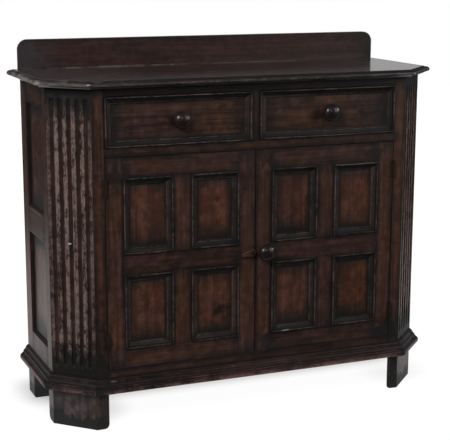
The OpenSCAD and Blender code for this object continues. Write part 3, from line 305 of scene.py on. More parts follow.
def woodMaterial(name):
    look = {**woodCommon, **woodLooks[name]}
    paint = Painter(bpy.data.materials.new(name))
    place = paint.attribute("place")  # along, across and out of the board, from its middle
    board = paint.attribute("board")  # three random numbers of the board
    wear = paint.attribute("worn", "Fac")  # rubbed above nought, grime and painted shade below it
    worn = paint.add("ShaderNodeMath", {"operation": "MAXIMUM"}, {0: wear, 1: 0.0})
    grime = paint.fade(wear, grainLook["grimeAndShadeStart"], 0.0, 1.0, 0.0)
    along, across, out = paint.split(place)
    halfAlong, halfAcross = paint.split(paint.attribute("half"))[:2]
    luck, bend, tone = paint.split(board)
    shifted = paint.vector("ADD", place, paint.vector("SCALE", board, grainLook["apart"]))

    def grain(key):
        alongScale, acrossScale, detail, rough = grainLook[key]
        stretched = paint.vector("MULTIPLY", shifted, (alongScale, acrossScale, acrossScale))
        return paint.noise(stretched, 1.0, detail, rough)

    patch = paint.noise(shifted, *grainLook["patch"])
    blotch = paint.noise(shifted, *grainLook["blotch"])
    streak = grain("streak")
    line = grain("line")
    fibre = grain("fibre")
    pore = paint.fade(grain("pore"), *grainLook["poreEdge"])
    # growth rings, drawn round a heart that lies behind the face
    heartAcross = across + (bend - 0.5) * grainLook["heartShift"]
    heartOut = out + grainLook["heartDeep"] + luck * grainLook["heartDrift"]
    distance = paint.vector("LENGTH", paint.join(heartAcross, heartOut, 0.0), (0, 0, 0))
    turns = distance * grainLook["ringsPerMetre"] + grain("sway") * 9.0 + streak * 1.4
    ring = paint.add("ShaderNodeMath", {"operation": "SINE"}, {0: turns * 6.2832})
    # dark edges and rubbed middle
    ragged = (streak + patch - 1.0) * look["ragged"]
    lengthwise = paint.fade(halfAlong + along + ragged, *look["low"])
    lengthwise = lengthwise * paint.fade(halfAlong - along + ragged, *look["high"])
    inside = lengthwise * paint.fade(halfAcross - abs(across) + ragged * 0.25, *look["across"])
    if "lean" in look:
        inside = inside * paint.fade(across + ragged * 0.2, *look["lean"], 1.0, 0.5)
    rubbed = inside * paint.fade(streak * 0.4 + patch * 0.45 + tone * 0.2, *look["rub"])
    bright = rubbed * paint.fade(blotch * 0.45 + streak * 0.55, *grainLook["brightEdge"])
    colour = paint.blend(rubbed, look["dark"], look["warm"])
    colour = paint.blend(bright, colour, look["amber"])
    shade = grainLook["level"] + (tone - 0.5) * grainLook["toneShade"]
    shade = shade + (fibre - 0.5) * grainLook["fibreShade"] + (blotch - 0.5) * grainLook["blotchShade"]
    shade = (shade + ring * look["figure"]) * (1.0 - pore * grainLook["poreDark"])
    shade = shade * (1.0 - paint.fade(line, *grainLook["lineEdge"]) * look["line"])
    # the stain drifts between a redder and a browner brown
    drift = paint.noise(shifted, *grainLook["drift"]) * 0.6 + blotch * 0.4
    hue = paint.blend(paint.fade(drift, *grainLook["driftEdge"]), look["hues"][0], look["hues"][1])
    colour = paint.vector("SCALE", paint.vector("MULTIPLY", colour, hue), shade)
    # bare wood where it is rubbed, and grime and painted shade in the grooves
    squeezed = paint.vector("MULTIPLY", shifted, (grainLook["mottleStretch"], 1.0, 1.0))
    mottle = paint.noise(squeezed, *grainLook["mottle"])
    bareAndHighlight = paint.fade(mottle * 0.45 + blotch * 0.30 + streak * 0.25, *grainLook["bareEdge"])
    bareAndHighlight = worn * bareAndHighlight * look["wear"]
    bareAndHighlight = bareAndHighlight * (grainLook["bareAtEnds"] + lengthwise * (1.0 - grainLook["bareAtEnds"]))
    colour = paint.blend(bareAndHighlight, colour, paint.vector("SCALE", look["pale"], 0.55 + fibre * 0.9))
    colour = paint.blend(grime * grainLook["grimeAndShadeCover"], colour, grimeAndShadeTint)
    position = paint.position()
    torn = (blotch - 0.5) * markEdge["blotch"]
    for middle, halfSizes, tint, strength in marks.get(name, ()):
        offset = paint.vector("SUBTRACT", position, middle)
        offset = paint.vector("MULTIPLY", offset, [1 / size for size in halfSizes])
        reach = paint.vector("LENGTH", offset, (0, 0, 0)) + torn
        reach = reach + (mottle - 0.5) * markEdge["mottle"] + (line - 0.5) * markEdge["line"]
        cover = paint.fade(reach, markEdge["inner"], markEdge["outer"], strength, 0.0)
        colour = paint.blend(cover, colour, tint)
    height = fibre * 0.25 + ring * 0.06 - pore * 0.5 + patch * 0.8 + bareAndHighlight * 0.5 + mottle * 0.25 - line * 0.3
    bump = paint.add("ShaderNodeBump", {}, {
        "Strength": grainLook["bump"], "Distance": grainLook["bumpDeep"], "Height": height})
    rough = look["rough"] + (fibre - 0.5) * 0.16 + bareAndHighlight * 0.18 + pore * 0.12
    polish = look["coat"] * (1.0 - paint.fade(worn, 0.0, 0.3) * 0.7)
    return paint.finish({
        "Base Color": colour,
        "Roughness": rough + grime * 0.4 + (1.0 - lengthwise) * 0.16,
        "Specular IOR Level": look["gloss"],
        "Coat Weight": polish * (1.0 - grime),
        "Coat Roughness": look["coatRough"],
        "Normal": bump,
    })


ironLook = {"dull": (0.011, 0.0070, 0.0055), "bright": (0.024, 0.0145, 0.0110),
            "rust": (0.034, 0.015, 0.009), "metal": 0.20, "rough": 0.60, "gloss": 0.15,
            "bump": 0.5, "bumpDeep": 0.0004}


def ironMaterial():
    paint = Painter(bpy.data.materials.new("darkIron"))
    position = paint.position()
    hammer = paint.noise(position, 260.0, 3.0)
    patch = paint.noise(position, 70.0, 3.0, 0.6)
    scratch = paint.noise(paint.vector("MULTIPLY", position, (900.0, 900.0, 60.0)), 1.0, 2.0)
    worn = paint.attribute("worn", "Fac")
    colour = paint.blend(paint.fade(hammer, 0.35, 0.75), ironLook["dull"], ironLook["bright"])
    colour = paint.blend(worn * 0.6, colour, ironLook["bright"])
    colour = paint.blend(paint.fade(patch, 0.55, 0.72) * 0.8, colour, ironLook["rust"])
    height = hammer * 0.7 + scratch * 0.2
    bump = paint.add("ShaderNodeBump", {}, {
        "Strength": ironLook["bump"], "Distance": ironLook["bumpDeep"], "Height": height})
    return paint.finish({
        "Base Color": colour,
        "Metallic": ironLook["metal"] - paint.fade(patch, 0.50, 0.66) * 0.15,
        "Roughness": ironLook["rough"] + patch * 0.25,
        "Specular IOR Level": ironLook["gloss"],
        "Normal": bump,
    })


materials = {name: woodMaterial(name) for name in woodLooks}
materials["darkIron"] = ironMaterial()
print("finishes made")


# Meshes

def islandsOf(bm):
    # groups of joined vertices, one for each separate board
    left = set(bm.verts)
    islands = []
    for start in list(bm.verts):
        if start not in left:
            continue
        left.remove(start)
        island = [start]
        queue = [start]
        while queue:
            for edge in queue.pop().link_edges:
                for vert in edge.verts:
                    if vert in left:
                        left.remove(vert)
                        island.append(vert)
                        queue.append(vert)
        islands.append(island)
    return islands


def newMesh(node=None):
    # an empty mesh, or the construction's own with its loose triangles joined into whole faces
    bm = bmesh.new()
    if node:
        bm.from_mesh(frame["nodes"][node].data)
    bm.verts.layers.float.new("worn")
    if node:
        bmesh.ops.remove_doubles(bm, verts=bm.verts, dist=weld)
        bmesh.ops.dissolve_limit(bm, angle_limit=math.radians(0.4), verts=bm.verts, edges=bm.edges)
    return bm


def onlyVerts(geometry):
    return [g for g in geometry if isinstance(g, bmesh.types.BMVert)]


def hill(value, middle, width):
    return math.exp(-((value - middle) / width) ** 2)


def soften(bm, width, segments=2, sharpest=25, shortest=0.004):
    # rounds the outer edges of every board, and marks the roundings as worn
    worn = bm.verts.layers.float["worn"]
    for island in islandsOf(bm):
        members = set(island)
        edges = [e for e in bm.edges if e.verts[0] in members and len(e.link_faces) == 2
                 and e.is_convex and e.calc_length() > shortest
                 and e.calc_face_angle() > math.radians(sharpest)]
        made = bmesh.ops.bevel(bm, geom=edges, offset=width, offset_type="OFFSET", segments=segments,
                               profile=0.5, affect="EDGES", material=-1, clamp_overlap=True)
        rounded = set(made["faces"])
        for vert in made["verts"]:
            if all(face in rounded for face in vert.link_faces):
                vert[worn] = 1.0


def sliceAlong(bm, axis, step):
    # extra loops across the boards, so that they can bend a little
    values = [v.co[axis] for v in bm.verts]
    count = int((max(values) - min(values)) / step)
    for i in range(1, count + 1):
        place = Vector((0, 0, 0))
        normal = Vector((0, 0, 0))
        place[axis] = min(values) + (max(values) - min(values)) * i / (count + 1)
        normal[axis] = 1
        geometry = bm.verts[:] + bm.edges[:] + bm.faces[:]
        bmesh.ops.bisect_plane(bm, geom=geometry, dist=weld, plane_co=place, plane_no=normal)


def waver(bm, amount, scale=9.0, fineScale=3.7, fineShare=0.4):
    # planed by hand, so no face is quite flat
    for vert in bm.verts:
        fine = noise.noise_vector(vert.co * scale * fineScale) * fineShare
        vert.co += (noise.noise_vector(vert.co * scale) + fine) * amount


def longAxis(bm):
    reach = [max(v.co[i] for v in bm.verts) - min(v.co[i] for v in bm.verts) for i in range(3)]
    return reach.index(max(reach))


def onFront(x, y, z, turn=0.0):
    # lays a flat shape against the front, turned by so many degrees
    place = Matrix.Translation((x, y, z)) @ Matrix.Rotation(math.pi / 2, 4, "X")
    return place @ Matrix.Rotation(math.radians(turn), 4, "Z")


def markBoards(bm, turn=0.0, order=None):
    # gives every board its own grain: along, across and out, measured from its middle
    place = bm.verts.layers.float_vector.new("place")
    half = bm.verts.layers.float_vector.new("half")
    board = bm.verts.layers.float_vector.new("board")
    back = Matrix.Rotation(-turn, 3, "Z")
    for island in islandsOf(bm):
        local = [back @ v.co for v in island]
        low = [min(p[i] for p in local) for i in range(3)]
        high = [max(p[i] for p in local) for i in range(3)]
        axes = order or sorted(range(3), key=lambda i: low[i] - high[i])
        middle = [(low[i] + high[i]) / 2 for i in range(3)]
        size = [(high[i] - low[i]) / 2 for i in axes]
        upright = 0.5 if axes[0] == 2 else 0.0  # upright boards are the lighter half
        luck = Vector((dice.random(), dice.random(), upright + dice.random() * 0.5))
        for vert, p in zip(island, local):
            vert[place] = Vector([p[i] - middle[i] for i in axes])
            vert[half] = Vector(size)
            vert[board] = luck


def intoScene(name, data):
    made = bpy.data.objects.new(name, data)
    bpy.context.scene.collection.objects.link(made)
    return made


def makePiece(node, bm, material, smooth=38):
    # the finished piece, inside the box of the node that it stands for
    low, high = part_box(node)
    for vert in bm.verts:
        vert.co = [min(max(vert.co[i], low[i]), high[i]) for i in range(3)]
    words = node.split("_")
    name = words[0] + "".join(word.capitalize() for word in words[1:])
    mesh = bpy.data.meshes.new(name)
    for face in bm.faces:
        face.smooth = True
    bm.to_mesh(mesh)
    bm.free()
    mesh.set_sharp_from_angle(angle=math.radians(smooth))
    mesh.materials.append(materials[material])
    piece = intoScene(name, mesh)
    even = piece.modifiers.new("evenShading", "WEIGHTED_NORMAL")
    even.keep_sharp = True
    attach(piece, bodyOf[node])
    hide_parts(node)


def smoothLine(stretches, steps=4):
    # rounded curves through the points of each stretch, with a corner where two stretches meet
    line = []
    for points in stretches:
        points = [Vector(p) for p in points]
        for i in range(len(points) - 1):
            before = points[max(i - 1, 0)]
            after = points[min(i + 2, len(points) - 1)]
            count = steps if len(points) > 2 else 1
            for k in range(count):
                t = k / count
                a, b = points[i], points[i + 1]
                line.append(a * (2 * t ** 3 - 3 * t ** 2 + 1) + b * (3 * t ** 2 - 2 * t ** 3)
                            + (b - before) * 0.5 * (t ** 3 - 2 * t ** 2 + t)
                            + (after - a) * 0.5 * (t ** 3 - t ** 2))
    line.append(Vector(stretches[-1][-1]))
    return line


def planCorner(i, out, back):
    # corner i of the carcass outline in plan, grown outwards: left back, round the front, right back
    leg = cornerCut + out * (2 - math.sqrt(2))
    corners = [(-halfWidth - out, back), (-halfWidth - out, frontY + leg - out),
               (leg - halfWidth - out, frontY - out)]
    corners += [(-x, y) for x, y in reversed(corners)]
    return Vector((*corners[i], 0))


def bothSides(*parts):
    return [side + "_" + part for side in ("left", "right") for part in parts]


# Boards that keep the shape of the construction, softened and planed by hand
boardCare = {
    "frameWood": ["front_stiles", "top_rail", "middle_rail", "bottom_rail", "drawer_muntin",
                  "side_stiles", "side_rails", *bothSides("door_stiles", "door_rails", "door_muntins")],
    "panelWood": ["side_panels", *bothSides("door_panels")],
    "drawerWood": bothSides("drawer_front"),
    "innerWood": ["rear_rails", "back_boards", "floor_board", "shelf", "board_battens",
                  "drawer_runners", "drawer_guides", "drawer_kickers", "door_stop_strip",
                  *bothSides("drawer_sides", "drawer_back", "drawer_bottom")],
    "darkIron": ["back_nails", "carcass_hinge_leaves", "hinge_pins", "carcass_hinge_screws",
                 *bothSides("door_hinge_leaves", "door_hinge_screws"), "turn_button_screw"],
}
boardShape = {"step": 0.045, "waver": 0.00012, "ironSharpest": 60, "ironShortest": 0.002,
              "arris": {"frameWood": 0.0010, "panelWood": 0.0008, "drawerWood": 0.0010,
                        "innerWood": 0.0006, "darkIron": 0.0003}}


def dressNode(node, material):
    bm = newMesh(node)
    arris = boardShape["arris"][material]
    if material == "darkIron":
        soften(bm, arris, 1, boardShape["ironSharpest"], boardShape["ironShortest"])
    else:
        soften(bm, arris)
        sliceAlong(bm, longAxis(bm), boardShape["step"])
        waver(bm, boardShape["waver"])
    markBoards(bm)
    makePiece(node, bm, material)


for material, nodes in boardCare.items():
    for node in nodes:
        dressNode(node, material)
print("boards dressed")


# Applied mouldings: a section swept along one side of an opening, mitred at both ends
moulding = {"width": 0.020, "proud": 0.004, "mitre": 0.00007, "step": 0.012, "sag": 0.0011,
            "frontRecess": 0.009, "drawerRecess": 0.006, "lockRail": 0.055,
            "rough": 0.0007, "roughScale": 14, "fine": 0.00025, "fineScale": (60, 40),
            "edgeHeld": 0.002, "baseHeld": 0.003,
            # where the section is rubbed pale, which also paints its highlights, and where it is painted
            # dark as shade
            "wear": [(0.13, 0.05, 1.0), (0.79, 0.03, 0.6), (0.31, 0.035, -1.0)]}


def mouldingSection(recess):
    # in from the outer edge, out from the frame face, and how much each point is worn: pale on the bead and
    # inner edge, which also paints their highlights, dark in the quirk as grime and painted shade
    width = moulding["width"]
    proud = moulding["proud"]
    bead = [(0, 0.5), (0.04, 0.85), (0.12, 1.0), (0.2, 0.95), (0.27, 0.65), (0.3, 0.3)]
    ogee = [(0.30, 0.02), (0.38, 0.02), (0.52, 0.2), (0.66, 0.45), (0.8, 0.62)]
    raised = [[(x * width, y * proud) for x, y in bead]]
    sunk = [[(x * width, -y * recess) for x, y in ogee],
            [(x * width, -y * recess) for x, y in [(0.8, 0.62), (0.82, 0.74)]],
            [(x * width, -y * recess) for x, y in [(0.82, 0.74), (0.93, 0.74)]],
            [(x * width, -y * recess) for x, y in [(0.93, 0.74), (0.97, 0.77), (1.0, 0.84)]],
            [(width, -0.84 * recess), (width, -recess)]]
    line = smoothLine([[(0, -recess), (0, 0.5 * proud)]] + raised + [[(0.3 * width, 0.3 * proud),
                      (0.3 * width, -0.02 * recess)]] + sunk)
    return [(p.x, p.y, sum(much * hill(p.x / width, at, wide) for at, wide, much in moulding["wear"]))
            for p in line]


def mouldingStrip(bm, length, recess, place):
    worn = bm.verts.layers.float["worn"]
    first = []
    section = mouldingSection(recess)
    for x, y, wear in section:
        vert = bm.verts.new((moulding["mitre"] + x, x, y))
        vert[worn] = wear if y > -recess * 0.9 else 0.0
        first.append(vert)
    face = bm.faces.new(first)
    swept = bmesh.ops.extrude_face_region(bm, geom=[face])
    last = onlyVerts(swept["geom"])
    for vert in last:
        vert.co.x = length - moulding["mitre"] - vert.co.y
    strip = set(first + last)
    count = int(length / moulding["step"])
    for i in range(1, count):
        geometry = list(strip) + [e for e in bm.edges if e.verts[0] in strip]
        geometry += [f for f in bm.faces if f.verts[0] in strip]
        cut = bmesh.ops.bisect_plane(bm, geom=geometry, dist=weld, plane_co=(length * i / count, 0, 0),
                                     plane_no=(1, 0, 0))
        strip.update(onlyVerts(cut["geom_cut"]))
    bow = dice.uniform(-1, 1) * moulding["sag"]
    shift = Vector((dice.random(), dice.random(), dice.random())) * 9
    for vert in strip:
        free = min(1.0, vert.co.y / moulding["edgeHeld"])
        free *= min(1.0, (vert.co.z + recess) / moulding["baseHeld"])
        rough = noise.noise(Vector((vert.co.x * moulding["roughScale"], 0, 0)) + shift) * moulding["rough"]
        spot = Vector((vert.co.x * moulding["fineScale"][0], vert.co.y * moulding["fineScale"][1], 0))
        fine = noise.noise(spot + shift) * moulding["fine"]
        vert.co.y += free * (bow * math.sin(math.pi * (vert.co.x / length)) + rough)
        vert.co.z += free * (fine - abs(rough) * 0.5)
    bmesh.ops.transform(bm, matrix=place, verts=list(strip))


def mouldingFrame(node, openings, faceY, recess):
    bm = newMesh()
    for low, high in openings:
        corners = [(low[0], low[1]), (high[0], low[1]), (high[0], high[1]), (low[0], high[1])]
        for i, (x, z) in enumerate(corners):
            length = high[0] - low[0] if i % 2 == 0 else high[1] - low[1]
            mouldingStrip(bm, length, recess, onFront(x, faceY, z, 90 * i))
    bmesh.ops.recalc_face_normals(bm, faces=bm.faces)
    markBoards(bm)
    makePiece(node, bm, "mouldingWood")


def doorOpenings(side):
    # the four panel openings of a door, from the places of its uprights and rails
    low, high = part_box(side + "_door_mouldings")
    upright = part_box(side + "_door_muntins")
    lockLow = low.z + (high.z - low.z - moulding["lockRail"]) / 2
    lockHigh = lockLow + moulding["lockRail"]
    spans = [(low.x, upright[0].x), (upright[1].x, high.x)]
    heights = [(low.z, lockLow), (lockHigh, high.z)]
    return [((x[0], z[0]), (x[1], z[1])) for x in spans for z in heights]


for side in ("left", "right"):
    mouldingFrame(side + "_door_mouldings", doorOpenings(side), frontY, moulding["frontRecess"])
    low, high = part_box(side + "_drawer_mouldings")
    mouldingFrame(side + "_drawer_mouldings", [((low.x, low.z), (high.x, high.z))], frontY,
                  moulding["drawerRecess"])
print("mouldings made")

# Fluted boards across the cut corners
fluting = {"count": 5, "width": 0.0125, "depth": 0.0045, "pitch": 0.0245, "topGap": 0.026,
           "bottomGap": 0.062, "columns": 132, "rows": 190, "dents": 0.0007, "edgeRound": 0.0016,
           "outerWear": 0.6, "grime": 0.35, "fadeOut": 0.02, "ridgeDeep": 0.45, "edgeHeld": 0.002,
           "dentScale": (60, 22), "dentStart": 0.12, "dentGain": 2.2, "fineScale": 4.3, "fineGain": 0.4,
           "drift": 0.0006, "driftScale": (9, 5), "smooth": 60}


def fluteDepth(across, up):
    # depth of the face behind its plane, and how much of the ridge stands there
    radius = (fluting["width"] ** 2 / 4 + fluting["depth"] ** 2) / (2 * fluting["depth"])
    low = baseZ + fluting["bottomGap"] + fluting["width"] / 2
    high = bodyZ - fluting["topGap"] - fluting["width"] / 2
    most = fluting["count"] // 2
    nearest = max(-most, min(most, round(across / fluting["pitch"])))
    beyond = max(0.0, low - up, up - high)
    reach = math.hypot(across - nearest * fluting["pitch"], beyond)
    sunk = math.sqrt(max(radius ** 2 - reach ** 2, 0)) - (radius - fluting["depth"])
    soft = fluting["edgeRound"]
    depth = max(sunk, 0) if sunk > soft else soft * math.exp(min(sunk, soft) / soft - 1)
    inZone = 1 if beyond == 0 else max(0.0, 1 - beyond / fluting["fadeOut"])
    ridge = max(0.0, 1 - depth / (fluting["depth"] * fluting["ridgeDeep"])) * inZone
    ridge *= 1.0 if abs(across) < fluting["pitch"] * (most + 0.2) else fluting["outerWear"]
    # the hollows are painted darker, as grime and painted shade
    grime = min(1.0, depth / fluting["depth"]) ** 4 * fluting["grime"]
    return depth - soft * 0.1, ridge - grime


def flutedBoard(side):
    width = cornerCut * math.sqrt(2)
    middle = (planCorner(1, 0, 0) + planCorner(2, 0, 0)) / 2
    bm = newMesh()
    worn = bm.verts.layers.float["worn"]
    bmesh.ops.create_grid(bm, x_segments=fluting["columns"], y_segments=fluting["rows"], size=0.5)
    for vert in bm.verts:
        across = vert.co.x * width
        up = baseZ + (vert.co.y + 0.5) * (bodyZ - baseZ)
        edge = min(1.0, (width / 2 - abs(across)) / fluting["edgeHeld"])
        depth, ridge = fluteDepth(across, up)
        spot = Vector((across * fluting["dentScale"][0], up * fluting["dentScale"][1], dice.random() * 0.01))
        dent = max(0.0, noise.noise(spot) - fluting["dentStart"]) * fluting["dentGain"]
        dent += max(0.0, noise.noise(spot * fluting["fineScale"])) * fluting["fineGain"]
        driftSpot = Vector((across * fluting["driftScale"][0], up * fluting["driftScale"][1], 3))
        depth += dent * fluting["dents"] * (0.35 + max(0.0, ridge))
        depth += noise.noise(driftSpot) * fluting["drift"]
        vert[worn] = ridge * edge
        vert.co = (across, max(0.0, depth) * edge, up)
    rim = [e for e in bm.edges if e.is_boundary]
    walls = bmesh.ops.extrude_edge_only(bm, edges=rim)
    back = onlyVerts(walls["geom"])
    narrow = boardThick * math.tan(math.radians(22.5))
    for vert in back:
        vert[worn] = 0.0
        vert.co.y = boardThick
        vert.co.x *= (width / 2 - narrow) / (width / 2)
    edges = [e for e in bm.edges if e.is_boundary]
    bmesh.ops.contextual_create(bm, geom=edges)
    turn = -math.pi / 4
    place = Matrix.Translation(middle) @ Matrix.Rotation(turn, 4, "Z")
    bmesh.ops.transform(bm, matrix=place, verts=bm.verts)
    if side == "right":
        bmesh.ops.scale(bm, vec=(-1, 1, 1), verts=bm.verts)
        turn = -turn
    bmesh.ops.recalc_face_normals(bm, faces=bm.faces)
    markBoards(bm, turn, [2, 0, 1])
    makePiece(side + "_fluted_corner", bm, "flutedWood", fluting["smooth"])


for side in ("left", "right"):
    flutedBoard(side)
print("fluted corners made")

# Top board, its moulded edge grown ring by ring from the underside
topEdge = {"flat": 0.014, "over": 0.030, "seatFit": 0.0001, "rubbed": 0.6, "rubbedEnd": 1.0,
           "nose": (0.46, 0.15), "step": (0.78, 0.99), "rimWear": 0.4, "stepShade": 0.9, "inset": 0.004,
           "slices": ((0, 0.02), (1, 0.04)), "waver": (0.00022, 6.0), "smooth": 45}


def topBoard():
    thick = topZ - bodyZ
    reach = topEdge["over"] - topEdge["flat"]
    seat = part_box("gallery_board")
    seatX = seat[1].x + topEdge["seatFit"]
    seatY = seat[0].y - topEdge["seatFit"]
    seatZ = (seat[0].z - bodyZ) / thick
    section = smoothLine([
        [(0, 0), (0.06, 0.08), (0.2, 0.18), (0.4, 0.24), (0.62, 0.26)],
        [(0.62, 0.26), (0.86, 0.30), (0.96, 0.38), (1, 0.48), (0.98, 0.6), (0.91, 0.72), (0.78, 0.82),
         (0.58, 0.88), (0.32, 0.91)],
        [(0.32, 0.91), (0.05, 0.91)],
        [(0.05, 0.91), (0.03, 0.985), (-0.06, 1.0)]], 3)
    # the rebate that seats the gallery board opens at its own height
    below = [p for p in section if p.y <= seatZ]
    above = section[len(below):]
    bottom = below[-1].lerp(above[0], (seatZ - below[-1].y) / (above[0].y - below[-1].y))
    rings = [(p, topBackY) for p in below + [bottom]] + [(p, seatY) for p in [bottom] + above]

    def ringPlaces(point, notchY):
        out = topEdge["flat"] + point.x * reach
        corners = [planCorner(i, out, topBackY) for i in range(6)]
        corners += [Vector((seatX, topBackY, 0)), Vector((seatX, notchY, 0)),
                    Vector((-seatX, notchY, 0)), Vector((-seatX, topBackY, 0))]
        return [c + Vector((0, 0, bodyZ + point.y * thick)) for c in corners]

    bm = newMesh()
    worn = bm.verts.layers.float["worn"]
    index = bm.verts.layers.int.new("index")
    verts = [bm.verts.new(place) for place in ringPlaces(*rings[0])]
    for i, vert in enumerate(verts):
        vert[index] = i
    face = bm.faces.new(verts)
    for point, notchY in rings[1:]:
        swept = bmesh.ops.extrude_face_region(bm, geom=[face] + face.edges[:])
        face = [g for g in swept["geom"] if isinstance(g, bmesh.types.BMFace)][0]
        places = ringPlaces(point, notchY)
        for vert in face.verts:
            vert.co = places[vert[index]]
            nose = hill(point.y, *topEdge["nose"]) * (point.x > 0.5)
            rim = point.y > topEdge["step"][1] and vert[index] < 6  # the first six are the outline's
            # a dark line is painted along the step as its shade
            step = topEdge["step"][0] < point.y < topEdge["step"][1]
            rub = topEdge["rubbedEnd"] if vert[index] < 2 else topEdge["rubbed"]
            vert[worn] = rub * nose + topEdge["rimWear"] * rim - topEdge["stepShade"] * step
    bm.verts.layers.int.remove(index)
    bmesh.ops.inset_region(bm, faces=[face], thickness=topEdge["inset"], depth=0, use_boundary=True)
    for vert in face.verts:
        vert[worn] = 0.0
    bmesh.ops.remove_doubles(bm, verts=bm.verts, dist=weld)
    for axis, step in topEdge["slices"]:
        sliceAlong(bm, axis, step)
    bmesh.ops.recalc_face_normals(bm, faces=bm.faces)
    waver(bm, *topEdge["waver"])
    markBoards(bm)
    makePiece("top_board", bm, "topWood", topEdge["smooth"])


topBoard()

galleryShape = {"round": 0.028, "roundSteps": 14, "arris": 0.0018, "step": 0.02, "waver": (0.00025, 7.0)}


def galleryBoard():
    low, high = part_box("gallery_board")
    bm = newMesh()
    bmesh.ops.create_cube(bm, size=1.0)
    bmesh.ops.scale(bm, vec=high - low, verts=bm.verts)
    bmesh.ops.translate(bm, vec=(low + high) / 2, verts=bm.verts)
    corners = [e for e in bm.edges if min(v.co.z for v in e.verts) > high.z - 0.001
               and abs(e.verts[0].co.y - e.verts[1].co.y) > 0.001]
    bmesh.ops.bevel(bm, geom=corners, offset=galleryShape["round"], offset_type="OFFSET",
                    segments=galleryShape["roundSteps"], profile=0.5, affect="EDGES", material=-1)
    soften(bm, galleryShape["arris"], 3, 40, 0.001)
    sliceAlong(bm, 0, galleryShape["step"])
    waver(bm, *galleryShape["waver"])
    markBoards(bm)
    makePiece("gallery_board", bm, "galleryWood")


galleryBoard()
print("top and gallery made")

# Plinth moulding: one section, five mitred lengths round the front
plinthShape = {"out": 0.024, "high": 0.039, "step": 0.012, "waver": (0.0003, 11.0), "smooth": 42}
plinthLengths = {"plinth_side_mouldings": [0, 4], "plinth_corner_mouldings": [1, 3],
                 "plinth_front_moulding": [2]}
plinthGrain = {"plinth_side_mouldings": [1, 2, 0], "plinth_corner_mouldings": [0, 2, 1],
               "plinth_front_moulding": [0, 2, 1]}


def plinthSection():
    line = smoothLine([
        [(0, 0), (0.94, 0)],
        [(0.94, 0), (0.985, 0.012), (1, 0.04), (1.0, 0.12), (1, 0.19), (0.97, 0.27), (0.89, 0.34),
         (0.78, 0.39), (0.73, 0.40)],
        [(0.73, 0.40), (0.73, 0.45)],
        [(0.73, 0.45), (0.64, 0.45), (0.61, 0.54), (0.54, 0.62), (0.44, 0.68), (0.40, 0.70)],
        [(0.40, 0.70), (0.40, 0.76)],
        [(0.40, 0.76), (0.32, 0.76), (0.30, 0.83), (0.24, 0.90), (0.14, 0.95), (0.1, 0.96)],
        [(0.1, 0.96), (0.09, 1.0), (0, 1.0)]], 3)
    # rubbed along the lip and the two arrises, with grime and painted shade in the quirk
    return [(p.x * plinthShape["out"], p.y * plinthShape["high"],
             hill(p.y, 0.10, 0.12) * (p.x > 0.9) + 0.6 * hill(p.x, 0.73, 0.03) * (p.y > 0.3)
             + 0.7 * hill(p.x, 0.40, 0.02) * (p.y > 0.72) - hill(p.x, 0.66, 0.03) * (p.y < 0.5))
            for p in line]


def plinthMouldings(node, lengths):
    bm = newMesh()
    worn = bm.verts.layers.float["worn"]
    for i in lengths:
        first = []
        section = plinthSection()
        for out, up, wear in section:
            vert = bm.verts.new(planCorner(i, out, backY) + Vector((0, 0, baseZ + up)))
            vert[worn] = wear
            first.append(vert)
        face = bm.faces.new(first)
        swept = bmesh.ops.extrude_face_region(bm, geom=[face])
        for vert in onlyVerts(swept["geom"]):
            out = min(section, key=lambda s: (planCorner(i, s[0], backY).xy - vert.co.xy).length
                      + abs(baseZ + s[1] - vert.co.z))[0]
            vert.co.xy = planCorner(i + 1, out, backY).xy
    bmesh.ops.recalc_face_normals(bm, faces=bm.faces)
    sliceAlong(bm, plinthGrain[node][0], plinthShape["step"])
    waver(bm, *plinthShape["waver"])
    markBoards(bm, 0.0, plinthGrain[node])
    makePiece(node, bm, "plinthWood", plinthShape["smooth"])


for node, lengths in plinthLengths.items():
    plinthMouldings(node, lengths)
print("plinth made")

# Feet: thick boards that carry the cut corners down to the floor, and two blocks at the back
footShape = {"arris": 0.002, "step": 0.012, "waver": (0.0003, 14.0), "sharpest": 30, "shortest": 0.002}
footTurns = {"front_left_foot": -math.pi / 4, "front_right_foot": math.pi / 4, "rear_feet": 0.0}


def foot(node, turn):
    bm = newMesh(node)
    soften(bm, footShape["arris"], 3, footShape["sharpest"], footShape["shortest"])
    sliceAlong(bm, 2, footShape["step"])
    waver(bm, *footShape["waver"])
    markBoards(bm, turn, [2, 0, 1])
    makePiece(node, bm, "footWood")


for node, turn in footTurns.items():
    foot(node, turn)
print("feet made")

# Turned knobs: half a profile, spun round
knobShape = {"radius": 0.023, "length": 0.038, "head": 0.016, "foot": 0.011, "neck": 0.008,
             "spigot": 0.006, "turns": 64, "headSteps": 22, "rubbedFrom": 0.0205, "rubbed": 0.8,
             "footCurve": [(-0.0004, 0), (0, 0.0007), (-0.0003, 0.0016), (-0.0012, 0.003)],
             "neckCurve": [(0.0004, 0.0044), (0, 0.006)], "smooth": 50}


